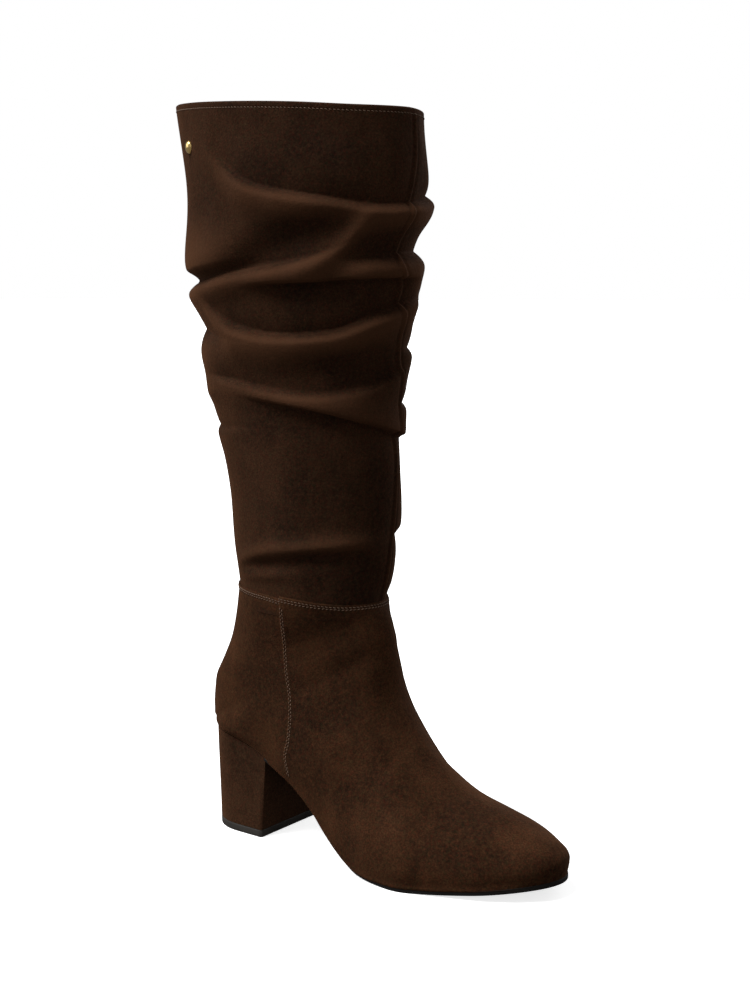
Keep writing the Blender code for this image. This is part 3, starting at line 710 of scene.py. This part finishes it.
def slide_up(grid, rises, columns):
    """The foot's last rows slid up along the foot and over the shaft, to the lapped edge."""
    top = grid[-1]
    depth = top[:, 0].max() - top[:, 0].min()
    ahead = (top[:, 0] - seam_x(1.0)) / depth
    over = LAP * np.interp(ahead, [row.ahead for row in LAP_EDGE], [row.over for row in LAP_EDGE])
    angle = np.degrees(np.arccos(np.clip(1 - 2 * (top[:, 0] - top[:, 0].min()) / depth, -1, 1)))
    angle = np.where(np.arange(len(top)) < len(columns), angle, 360 - angle)
    tall = 0.005
    low, high = shaft_grid(np.array((0.0, tall / SHAFT_RISE)), angle)[0]
    up = arc_up(grid)
    start = int(np.searchsorted(rises, LAP_START))
    share = ease((rises[start:] - LAP_START) / (1 - LAP_START))
    slid = grid.copy()
    for k in range(grid.shape[1]):
        place = up[start:, k] + over[k] * share
        past = np.maximum(place - up[-1, k], 0.0)
        slid[start:, k] = read_at(place, up[:, k], grid[:, k]) + (high - low)[k] * past[:, None] / tall
    return slid


def make_foot(finish):
    """Vamp and counter: a sheet from the sole's edge to the lapped edge over the shaft."""
    rises = foot_rises()
    grid, ahead = foot_grid(rises, side_columns())
    grid = slide_up(grid, rises, side_columns())
    near_toe = ease((grid[..., :1] / LAST_LENGTH - TOE_SMOOTH_FROM) / 0.05)
    near_toe = near_toe * ease(rises[:, None, None] * 60)
    for _ in range(TOE_PASSES):
        beside = (np.roll(grid, 1, axis=1) + np.roll(grid, -1, axis=1)) / 2
        grid = grid + 0.5 * near_toe * (beside - grid)
    normal = grid_normals(grid)
    up = arc_up(grid)
    below_edge = below_top(grid)
    rise = rises[:, None]
    over_ankle = ease((rise - LAP_FROM) / (1 - LAP_FROM))
    over_counter = held(1 - ease(ahead / SEAM_FADE)) * ease(rise * 5)
    over_counter *= ease((ahead + STEP_SET) / STEP_WIDTH)
    thin = COUNTER_LAP + (1 - COUNTER_LAP) * ease((ahead + SEAM_FADE) / SEAM_FADE)
    lift = LAP * (over_ankle * thin + over_counter) + soft_waves(grid, FOOT_WAVE)
    lift -= furrow(below_edge, LAP_ROWS) * ease(rise * 3)
    lift -= furrow(ahead, SIDE_ROWS) * ease(rise * 5)
    lift += SWELL * np.exp(-((ahead - SWELL_AT) / SWELL_WIDTH) ** 2) * ease(rise * 5)
    lift *= ease(rise * 30)
    back = ease((HEEL_TOP_LENGTH * 1.25 - grid[..., 0]) / (HEEL_TOP_LENGTH * 0.5))
    rolled = 0.6 * np.exp(-((up - ROLL_RISE) / ROLL_WIDTH) ** 2) - 1.3 * np.exp(-(up / ROLL_UNDER) ** 2)
    lift += back * ROLL * rolled
    grid = grid + normal * (1, 1, 0.4) * lift[..., None]
    curl = []
    for step in np.linspace(0, 1, 7)[1:]:
        turn = math.pi * 0.9 * step
        drop = LAP * 0.9 * (1 - math.cos(turn)) / 2
        lifted = np.array((0, 0, LAP * 0.55 * math.sin(turn)))
        curl.append(grid[-1] - normal[-1] * drop + lifted)
    ahead_of_heel = ease((grid[0][:, 0] - HEEL_TOP_LENGTH) / HEM_START)
    sideways = unit(normal[0] * (1, 1, 0))
    flare = sideways * HEM_FLARE * np.abs(sideways[:, 1:2])
    hem = grid[0] + (flare - np.array((0, 0, 1))) * HEM * ahead_of_heel[:, None]
    tuck = hem - sideways * HEM_TUCK
    tuck[:, 2] -= 0.0002
    rows = np.concatenate([tuck[None], hem[None], grid, np.array(curl)])
    rub_highlight_and_shade = np.zeros(rows.shape[:2])
    # Painted highlight, with some rub wear: the suede is lighter along the lapped edge and beside the side
    # seam.
    rub_highlight_and_shade[2:len(grid) + 2] = 0.5 * np.exp(-(below_edge / 0.0012) ** 2) * ease(rise * 3)
    rub_highlight_and_shade[2:len(grid) + 2] += 0.5 * np.exp(-(ahead / 0.0010) ** 2) * ease(rise * 5)
    add_piece(mesh_of_rows("foot", rows, finish, rub_highlight_and_shade), "brown_suede", "upper")
    return grid, ahead


def shaft_places():
    """Angles round the leg, close together at the back seam and the front seam."""
    plain = np.linspace(0.0, 360.0, 240, endpoint=False)
    near = np.linspace(-5.0, 5.0, 17)
    away = np.abs((plain[:, None] - np.array((0.0, 180.0, 360.0))[None, :])).min(axis=1) > 5.5
    return np.sort(np.concatenate([plain[away], (near + 360) % 360, near + 180]))


def make_shaft(finish, lining):
    """The folded shaft, from just under the foot's lap to the collar's turned edge, and its lining."""
    heights = np.concatenate([[-0.030, -0.015], fade_rows(SHAFT_STEPS, SHAFT_EDGE_STEPS, SHAFT_EDGE)])
    places = shaft_places()
    grid, angle = shaft_grid(heights, places)
    plain = grid
    plain_normal = grid_normals(plain)
    out, down = fold_shift(heights[:, None], angle)
    grid = plain + plain_normal * out[..., None]
    grid[..., 2] -= down
    turned = 180 - np.abs(angle % 360 - 180)
    collar = COLLAR_LIFT * column(COLLAR_LINE, "rise", turned)
    grid[..., 2] += collar * held(1 - (1 - heights[:, None]) / COLLAR_SHARE) ** 2
    normal = grid_normals(grid)
    below_edge = below_top(grid)
    step = np.linalg.norm(np.roll(grid, -1, axis=1) - grid, axis=-1)
    round_leg = np.cumsum(step, axis=1)
    lift = soft_waves(grid, SHAFT_WAVE) * ease(below_edge / 0.02)
    ribs = np.zeros_like(lift)
    for seam in (0.0, 180.0):
        at = int(np.abs(places - seam).argmin())
        off = round_leg - round_leg[:, at:at + 1]
        total = round_leg[:, -1:]
        off = (off + total / 2) % total - total / 2
        rib = np.exp(-(off / RIB_REACH) ** 2)
        rib -= VALLEY * np.exp(-((np.abs(off) - VALLEY_AT) / VALLEY_REACH) ** 2)
        ribs += rib
        lift += RIB_HEIGHT * rib * ease(below_edge / RIB_FADE)
    lift += BASE_LIFT * LAP * np.exp(-(heights[:, None] / BASE_REACH) ** 2)
    lift -= furrow(below_edge, (COLLAR_ROW,))
    under = grid
    grid = grid + normal * lift[..., None]
    inward = unit(normal * (1, 1, 0))
    rim = []
    for share in np.linspace(0, 1, 9)[1:]:
        turn = math.pi * share
        raised = np.array((0, 0, COLLAR_EDGE * math.sin(turn)))
        rim.append(grid[-1] - inward[-1] * COLLAR_EDGE * (1 - math.cos(turn)) + raised)
    facing = under[::-1][1:40:4] - inward[::-1][1:40:4] * (2 * COLLAR_EDGE)
    rows = np.concatenate([grid, np.array(rim), facing])
    deepest = out
    for shift in range(-12, 13):
        deepest = np.minimum(deepest, np.roll(out, shift, axis=0))
    deepest = np.minimum(np.minimum(deepest, np.roll(deepest, 3, axis=1)), np.roll(deepest, -3, axis=1))
    deepest = np.where(heights[:, None] > LINING_PLAIN, 0.0, deepest)
    inner = plain - plain_normal * (2 * COLLAR_EDGE + LINING_GAP - deepest[..., None])
    inner = inner[::-1][8::4, ::2]
    add_piece(mesh_of_rows("shaft_lining", inner, lining), "tan_lining")
    rub_highlight_and_shade = np.zeros(rows.shape[:2])
    # Painted highlight on fold crests and seam ribs, partly rub wear, and painted shade in the creases and
    # the valleys beside the ribs.
    rub_highlight_and_shade[:len(grid)] = np.clip(out / (0.75 * FOLD_SIZE) + 0.5 * ribs, -1.0, 1.0)
    add_piece(mesh_of_rows("shaft", rows, finish, rub_highlight_and_shade), "brown_suede", "upper")
    return grid


def make_foot_lining(finish):
    """The lining of the foot, from the insole up to the shaft's lining."""
    grid, _ = foot_grid(np.linspace(0, 1, 60), side_columns()[::3])
    normal = grid_normals(grid)
    rows = grid - normal * WALL
    rows[0, :, 2] = grid[0, :, 2] + 0.0002
    add_piece(mesh_of_rows("foot_lining", rows[::-1], finish), "tan_lining")


def stitch_line(points, normals, slant):
    """Stitches along a line on the surface: short slanted threads that dip at both ends."""
    step = np.linalg.norm(np.diff(points, axis=0), axis=-1)
    run = np.concatenate([[0.0], np.cumsum(step)])
    count = int(run[-1] / STITCH_PITCH)
    verts = []
    faces = []
    around = np.linspace(0, 2 * math.pi, THREAD_SIDES, endpoint=False)
    t = np.linspace(-1.0, 1.0, THREAD_RINGS)
    for n in range(count):
        places = n * STITCH_PITCH + STITCH_LENGTH * np.linspace(0, 1, THREAD_RINGS)
        line = read_at(places, run, points)
        out = unit(read_at(places, run, normals))
        across = np.cross(out, unit(np.gradient(line, axis=0)))
        centre = line + out * (THREAD * (0.55 - 1.1 * t ** 4))[:, None] + across * (slant * t)[:, None]
        radius = THREAD / 2 * (1 - 0.45 * t ** 4)
        ring = np.cos(around)[None, :, None] * across[:, None] + np.sin(around)[None, :, None] * out[:, None]
        base = len(verts)
        verts += (centre[:, None] + ring * radius[:, None, None]).reshape(-1, 3).tolist()
        for ring_start in range(base, len(verts) - THREAD_SIDES, THREAD_SIDES):
            next_start = ring_start + THREAD_SIDES
            for k in range(THREAD_SIDES):
                m = (k + 1) % THREAD_SIDES
                faces.append((ring_start + k, ring_start + m, next_start + m, next_start + k))
    return verts, faces


def add_stitches(name, lines, finish):
    """All the stitching of one place as one piece."""
    verts = []
    faces = []
    for order, (points, normals) in enumerate(lines):
        slant = STITCH_SLANT * (1 if order % 2 else -1) / 2
        more_verts, more_faces = stitch_line(points, normals, slant)
        faces += [tuple(k + len(verts) for k in face) for face in more_faces]
        verts += more_verts
    add_piece(new_mesh(name, verts, faces, finish), "brown_suede")


def line_at(grid, normal, distance, value):
    """The line on which a per-point distance reaches a value, one point in each column."""
    points = []
    normals = []
    for k in range(grid.shape[1]):
        order = np.argsort(distance[:, k])
        points.append(read_at(value, distance[order, k], grid[order, k]))
        normals.append(read_at(value, distance[order, k], normal[order, k]))
    return np.array(points), np.array(normals)


def closed_line(points, normals):
    """The same line with its first point repeated at its end."""
    return np.vstack([points, points[:1]]), np.vstack([normals, normals[:1]])


def make_stitching(foot, ahead, shaft, finish):
    """Rows below the ankle seam and the collar, and rows ahead of both side seams."""
    foot_normal = grid_normals(foot)
    below = below_top(foot)
    lines = [closed_line(*line_at(foot, foot_normal, below, row)) for row in LAP_ROWS]
    add_stitches("ankle_stitching", lines, finish)
    half = (foot.shape[1] + 2) // 2
    lines = []
    low = int(np.searchsorted(foot_rises(), SIDE_START))
    high = int(np.searchsorted(-below[:, 0], -LAP_ROWS[-1] - STITCH_CLEAR))
    for part in (slice(0, half), slice(half - 1, foot.shape[1])):
        points = foot[low:high, part].swapaxes(0, 1)
        normals = foot_normal[low:high, part].swapaxes(0, 1)
        across = ahead[low:high, part].T
        lines += [line_at(points, normals, across, row) for row in SIDE_ROWS]
    add_stitches("side_stitching", lines, finish)
    lines = [closed_line(*line_at(shaft, grid_normals(shaft), below_top(shaft), COLLAR_ROW))]
    add_stitches("collar_stitching", lines, finish)


def outline_point(turn, side):
    """Point of the last's bottom outline: turn runs from the back (0) to the toe (pi)."""
    x = LAST_LENGTH * (1 - np.cos(turn)) / 2
    across = np.where((turn < 0) | (turn > math.pi), -side, side)
    return np.stack([x, toe_line(x) + across * bottom_width(x, side)], axis=-1)


def outline_turn(x):
    """The turn at which the outline reaches x."""
    return math.acos(1 - 2 * x / LAST_LENGTH)


def outline_side(turns, side, grow):
    """The outline of one side, grown outwards."""
    here = outline_point(turns, side)
    ahead = unit(outline_point(turns + 1e-3, side) - outline_point(turns - 1e-3, side))
    outwards = side * np.stack([-ahead[:, 1], ahead[:, 0]], axis=-1)
    return here + outwards * grow


def closed_block(name, levels, finish):
    """A closed block through rings of points, with both ends filled in strips."""
    levels = np.asarray(levels)
    mesh = mesh_of_rows(name, levels, finish)
    bm = bmesh.new()
    bm.from_mesh(mesh)
    bm.verts.ensure_lookup_table()
    wide = levels.shape[1]
    half = wide // 2
    for start in (0, len(bm.verts) - wide):
        for k in range(half - 1):
            corners = (start + k, start + k + 1, start + wide - 2 - k, start + wide - 1 - k)
            bm.faces.new([bm.verts[n] for n in corners])
    bmesh.ops.remove_doubles(bm, verts=bm.verts, dist=1e-7)
    bmesh.ops.recalc_face_normals(bm, faces=bm.faces)
    for face in bm.faces:
        face.smooth = True
    bm.to_mesh(mesh)
    bm.free()
    mesh.set_sharp_from_angle(angle=math.radians(35))
    return mesh


def ring_of_sides(outer, inner):
    """Outer side from back to front, then inner side from front to back."""
    return np.concatenate([outer, inner[::-1]])


def make_outsole(finish):
    """The thin black sole, rounded along its lower edge."""
    turns = np.linspace(outline_turn(HEEL_TOP_LENGTH + GAP), math.pi, 150)
    levels = []
    profile = [(-EDGE_ROUND, 0.0)]
    for share in np.linspace(0, 1, 6)[1:]:
        turn = math.pi / 2 * share
        profile.append((-EDGE_ROUND * (1 - math.sin(turn)), EDGE_ROUND * (1 - math.cos(turn))))
    profile += [(0.0, SOLE_THICKNESS - 0.0005), (-0.0004, SOLE_THICKNESS)]
    for grow, height in profile:
        sides = []
        for side in (-1, 1):
            flat = outline_side(turns, side, grow + SOLE_PROUD)
            arch = ease((ARCH_END - flat[:, :1] / LAST_LENGTH) / ARCH_FADE)
            inset = outline_side(turns, side, grow + SOLE_PROUD - ARCH_INSET)
            flat = flat + (inset - flat) * arch
            thin = 1 - ARCH_THIN * arch[:, 0]
            level = tread(flat[:, 0]) + SOLE_THICKNESS * (1 - thin) + height * thin
            sides.append(np.column_stack([flat, level]))
        levels.append(ring_of_sides(*sides))
    add_piece(closed_block("outsole_shown", levels, finish), "black_rubber", "outsole")


def foot_round(share):
    """Half-width of the heel's foot at a share of its length, as part of its full width."""
    back = held(1 - share / HEEL_BACK)
    return (1 - back ** HEEL_BACK_POWER) ** 0.5


def foot_ring(height, inset):
    """Outline of the heel where it stands, at one height, with rounded breast edges."""
    share = 1 - np.cos(math.pi / 2 * np.linspace(0, 1, HEEL_STEPS))
    x = HEEL_FOOT_SET + inset + (HEEL_FOOT_LENGTH - 2 * inset) * share
    half = (HEEL_FOOT_WIDTH / 2 - inset) * foot_round(share)
    corner = held((x - x[-1] + HEEL_CORNER) / HEEL_CORNER)
    half = half - HEEL_CORNER * (1 - np.sqrt(1 - corner ** 2))
    sides = [np.column_stack([x, side * half, np.full_like(x, height)]) for side in (-1, 1)]
    return ring_of_sides(*sides)


def make_heel(finish):
    """The covered block, from the seat down to the rubber tip."""
    turns = np.linspace(0.0, outline_turn(HEEL_TOP_LENGTH), HEEL_STEPS)
    sides = []
    for side in (-1, 1):
        flat = outline_side(turns, side, -HEEL_INSET - ROLL / 2)
        sides.append(np.column_stack([flat, feather(flat[:, 0]) - SEAT_GAP]))
    seat = ring_of_sides(*sides)
    foot = foot_ring(TIP_THICKNESS + GAP, 0.0)
    levels = []
    for drop in np.linspace(0, 1, 60):
        waist = (1 - WAIST) * drop + WAIST * ease(drop)
        levels.append(seat + (foot - seat) * np.array((waist, waist, drop)))
    add_piece(closed_block("heel_cover", levels, finish), "brown_suede", "heel")


def make_heel_tip(finish):
    """The rubber top piece, with softened edges."""
    levels = [
        foot_ring(0.0, 0.0007),
        foot_ring(0.0002, 0.0002),
        foot_ring(0.0006, 0.0),
        foot_ring(TIP_THICKNESS - 0.0004, 0.0),
        foot_ring(TIP_THICKNESS, 0.0004),
    ]
    add_piece(closed_block("tip_shown", levels, finish), "black_rubber", "heel_tip")


def make_stud(shaft, finish):
    """A plain domed stud with a low collar, set on the shaft's surface."""
    low, high = (Vector(corner) - Vector(SHIFT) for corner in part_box("stud"))
    middle = np.array((low + high) / 2)
    normals = grid_normals(shaft)
    near = np.linalg.norm(shaft - middle, axis=-1)
    row, place = np.unravel_index(near.argmin(), near.shape)
    normal = Vector(normals[row, place])
    profile = [(STUD_RADIUS * 0.98, -0.0006), (STUD_RADIUS, 0.0002), (STUD_RADIUS * 0.97, 0.0005)]
    for share in np.linspace(0, 1, 9)[:-1]:
        turn = math.pi / 2 * share
        dome = 0.0005 + (STUD_HEIGHT - 0.0006) * math.sin(turn)
        profile.append((STUD_RADIUS * 0.92 * math.cos(turn), dome))
    around = np.linspace(0, 2 * math.pi, 40, endpoint=False)
    rings = [np.stack([r * np.cos(around), r * np.sin(around), 0 * around + z], axis=-1) for r, z in profile]
    turned = normal.to_track_quat("Z", "Y").to_matrix()
    rings = np.array(rings) @ np.array(turned).T + shaft[row, place]
    add_piece(closed_block("stud_shown", rings, finish), "brass", "stud")


class Nodes:
    """A material's node tree with short calls for adding and joining nodes."""

    def __init__(self, name):
        self.material = bpy.data.materials.new(name)
        self.material.use_nodes = True
        self.tree = self.material.node_tree
        self.shader = self.tree.nodes["Principled BSDF"]
        self.place = self.add("ShaderNodeTexCoord").outputs["Object"]

    def add(self, kind, inputs=(), **values):
        node = self.tree.nodes.new(kind)
        for name, value in inputs:
            node.inputs[name].default_value = value
        for key, value in values.items():
            setattr(node, key, value)
        return node

    def join(self, source, target):
        self.tree.links.new(source, target)

    def put(self, name, value):
        """Joins a socket to the shader's input, or sets a number or colour on it."""
        socket = self.shader.inputs[name]
        if isinstance(value, bpy.types.NodeSocket):
            self.join(value, socket)
        else:
            socket.default_value = value

    def noise(self, scale, detail=3.0, roughness=0.55, stretch=None):
        values = ("Scale", scale), ("Detail", detail), ("Roughness", roughness)
        node = self.add("ShaderNodeTexNoise", values)
        source = self.place
        if stretch:
            mapping = self.add("ShaderNodeMapping", [("Scale", stretch)])
            self.join(self.place, mapping.inputs["Vector"])
            source = mapping.outputs["Vector"]
        self.join(source, node.inputs["Vector"])
        return node.outputs["Fac"]

    def mix(self, share, first, second):
        node = self.add("ShaderNodeMix", data_type="RGBA")
        for value, name in ((share, 0), (first, 6), (second, 7)):
            socket = node.inputs[name]
            if isinstance(value, bpy.types.NodeSocket):
                self.join(value, socket)
            elif isinstance(value, tuple):
                socket.default_value = (*value, 1.0)
            else:
                socket.default_value = value
        return node.outputs[2]

    def span(self, source, low, high, start=0.0, end=1.0):
        values = ("From Min", low), ("From Max", high), ("To Min", start), ("To Max", end)
        node = self.add("ShaderNodeMapRange", values)
        self.join(source, node.inputs["Value"])
        return node.outputs["Result"]

    def bump(self, height, distance, strength, below=None):
        node = self.add("ShaderNodeBump", [("Distance", distance), ("Strength", strength)])
        self.join(height, node.inputs["Height"])
        if below is not None:
            self.join(below, node.inputs["Normal"])
        return node.outputs["Normal"]


def shade(colour, share):
    """A colour made darker or lighter."""
    return tuple(share * part for part in colour)


def suede(name, deep, warm):
    """Brown suede: brushed patches over a fine nap, lighter on crests and raised edges as a painted
    highlight with some rub wear, and darker in creases as a painted shade.
    """
    n = Nodes(name)
    clouds = n.noise(27.0, 3.0, 0.6)
    brushed = n.noise(62.0, 4.0, 0.62, stretch=(1.0, 1.0, 0.5))
    grain = n.noise(1000.0, 2.0, 0.6)
    fleck = n.noise(430.0, 3.0, 0.7)
    tint = n.noise(700.0, 2.0, 0.6)
    # The mesh's per-point value: painted highlight on crests and raised edges, partly rub wear, and painted
    # shade in creases.
    rub_highlight_and_shade = n.add("ShaderNodeAttribute", attribute_name="wear_and_painted_light").outputs["Fac"]
    colour = n.mix(n.span(clouds, 0.40, 0.60), shade(deep, 0.70), shade(warm, 1.22))
    tones = (
        (brushed, 0.35, 0.68, 0.45, shade(deep, 0.55)),
        (fleck, 0.32, 0.68, 0.65, shade(warm, 1.5)),
        (grain, 0.34, 0.66, 0.60, shade(deep, 0.4)),
        (tint, 0.52, 0.72, 0.012, (1.0, 0.0, 0.0)),
        (tint, 0.48, 0.28, 0.012, (0.0, 0.35, 0.10)),
        (rub_highlight_and_shade, 0.15, 1.0, PAINTED_HIGHLIGHT, shade(warm, 2.1)),
        (rub_highlight_and_shade, -0.1, -0.8, PAINTED_SHADE, shade(deep, 0.4)),
    )
    for source, low, high, share, tone in tones:
        colour = n.mix(n.span(source, low, high, 0.0, share), colour, tone)
    n.put("Base Color", colour)
    n.put("Roughness", n.span(brushed, 0.3, 0.7, 0.82, 1.0))
    n.put("Specular IOR Level", 0.05)
    n.put("Sheen Weight", 0.10)
    n.put("Sheen Roughness", 0.45)
    n.put("Sheen Tint", (0.80, 0.33, 0.14, 1.0))
    low = n.bump(brushed, 0.0010, 0.45)
    middle = n.bump(fleck, 0.0005, 0.6, low)
    n.put("Normal", n.bump(grain, 0.00025, 0.8, middle))
    return n.material


def matte(name, first, second, tone, grain, depth, roughness):
    """Matte thread or lining: two tones, mixed slowly or finely, under a grain."""
    n = Nodes(name)
    n.put("Base Color", n.mix(n.noise(*tone), first, second))
    n.put("Roughness", roughness)
    n.put("Normal", n.bump(n.noise(*grain), depth, 0.5))
    return n.material


def rubber(name, colour):
    """Dull black rubber with a fine cast grain."""
    n = Nodes(name)
    dust = n.noise(70.0, 4.0)
    n.put("Base Color", n.mix(n.span(dust, 0.4, 0.8, 0.0, 0.6), colour, shade(colour, 2.0)))
    n.put("Roughness", n.span(dust, 0.3, 0.7, 0.55, 0.8))
    n.put("Specular IOR Level", 0.15)
    n.put("Normal", n.bump(n.noise(900.0, 3.0), 0.0002, 0.4))
    return n.material


def polished_brass(name):
    """Polished brass with a faint brushed variation."""
    n = Nodes(name)
    brush = n.noise(500.0, 3.0)
    n.put("Base Color", (0.83, 0.60, 0.25, 1.0))
    n.put("Metallic", 1.0)
    n.put("Roughness", n.span(brush, 0.3, 0.7, 0.16, 0.30))
    return n.material


def plain_floor():
    """Pale floor that looks white and throws little light back up."""
    n = Nodes("pale_floor")
    tone = n.noise(3.0, 2.0)
    seen = n.mix(tone, (0.88, 0.88, 0.88), (0.92, 0.92, 0.92))
    path = n.add("ShaderNodeLightPath").outputs["Is Camera Ray"]
    n.put("Base Color", n.mix(path, (0.16, 0.15, 0.14), seen))
    n.put("Emission Color", n.mix(path, (0.0, 0.0, 0.0), (1.0, 1.0, 1.0)))
    n.put("Emission Strength", 0.75)
    n.put("Roughness", 1.0)
    n.put("Specular IOR Level", 0.0)
    reach = 40.0
    corners = [(-reach, -reach, 0.0), (reach, -reach, 0.0), (reach, reach, 0.0), (-reach, reach, 0.0)]
    floor = bpy.data.objects.new("floor", new_mesh("floor", corners, [(0, 1, 2, 3)], n.material))
    bpy.context.scene.collection.objects.link(floor)


def add_sun(name, way, strength, spread):
    """Even light from one direction, with soft shadows."""
    light = bpy.data.lights.new(name, "SUN")
    light.energy = strength
    light.angle = math.radians(spread)
    lamp = bpy.data.objects.new(name, light)
    lamp.rotation_euler = (-Vector(way)).to_track_quat("-Z", "Y").to_euler()
    bpy.context.scene.collection.objects.link(lamp)


def light_studio():
    """Soft light from above and a little ahead, and a dim even surround."""
    add_sun("key", (-0.33, -0.52, 1.0), 3.6, 32)
    add_sun("front", (0.9, -0.7, 0.5), 0.25, 60)
    add_sun("back", (-0.9, -0.55, 0.25), 0.85, 50)
    add_sun("inner", (0.1, 0.9, 0.35), 1.0, 60)
    world = bpy.data.worlds.new("studio")
    world.use_nodes = True
    tree = world.node_tree
    back = tree.nodes["Background"]
    path = tree.nodes.new("ShaderNodeLightPath")
    span = tree.nodes.new("ShaderNodeMapRange")
    span.inputs["To Min"].default_value = 0.17
    tree.links.new(path.outputs["Is Camera Ray"], span.inputs["Value"])
    tree.links.new(span.outputs["Result"], back.inputs["Strength"])
    back.inputs["Color"].default_value = (1.0, 1.0, 1.0, 1.0)
    bpy.context.scene.world = world
    bpy.context.scene.view_settings.view_transform = "Standard"


def aim_camera():
    """The photograph's view of the boot."""
    place = Vector(CAMERA_AT)
    level = Vector((CAMERA_AIM[0], CAMERA_AIM[1], CAMERA_AT[2])) - place
    level.normalize()
    ahead = level * math.cos(CAMERA_DIP) - Vector((0, 0, math.sin(CAMERA_DIP)))
    data = bpy.data.cameras.new("camera")
    data.lens = CAMERA_LENS
    data.sensor_width = 36
    camera = bpy.data.objects.new("camera", data)
    camera.location = place + Vector(SHIFT)
    camera.rotation_euler = ahead.to_track_quat("-Z", "Y").to_euler()
    bpy.context.scene.collection.objects.link(camera)
    bpy.context.scene.camera = camera


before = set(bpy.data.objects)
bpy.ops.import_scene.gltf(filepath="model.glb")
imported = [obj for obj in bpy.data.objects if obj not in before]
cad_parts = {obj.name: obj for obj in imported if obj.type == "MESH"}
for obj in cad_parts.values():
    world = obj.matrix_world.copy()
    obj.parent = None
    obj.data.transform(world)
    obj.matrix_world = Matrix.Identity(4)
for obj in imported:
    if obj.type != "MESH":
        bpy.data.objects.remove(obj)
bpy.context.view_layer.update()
SHIFT = (
    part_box("outsole")[1][0] - LAST_LENGTH - SOLE_MARGIN,
    (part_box("heel_tip")[0][1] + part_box("heel_tip")[1][1]) / 2,
    0.0,
)

brown = suede("suede", (0.0185, 0.0082, 0.0040), (0.0445, 0.0180, 0.0076))
leg = suede("shaft_suede", (0.0185, 0.0087, 0.0047), (0.0355, 0.0153, 0.0074))
cover = suede("heel_suede", (0.0225, 0.0105, 0.0056), (0.044, 0.0198, 0.0100))
THREAD_TONE = (0.125, 0.070, 0.040)
LINING_TONE = (0.33, 0.20, 0.12)
twist = (2600.0, 2.0)
sewing = matte("thread", shade(THREAD_TONE, 0.7), shade(THREAD_TONE, 1.2), twist, twist, 0.0001, 0.7)
black = rubber("rubber", (0.008, 0.0072, 0.0066))
grey = rubber("tip_rubber", (0.036, 0.0325, 0.0295))
tan = matte("lining", shade(LINING_TONE, 0.8), LINING_TONE, (25.0, 3.0), (1100.0, 3.0, 0.6), 0.0002, 0.6)

foot_points, seam_ahead = make_foot(brown)
shaft_points = make_shaft(leg, tan)
make_foot_lining(tan)
make_stitching(foot_points, seam_ahead, shaft_points, sewing)
make_outsole(black)
make_heel(cover)
make_heel_tip(grey)
make_stud(shaft_points, polished_brass("polished_brass"))
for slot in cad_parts["insole"].material_slots:
    slot.link = "OBJECT"
    slot.material = tan

plain_floor()
light_studio()
aim_camera()
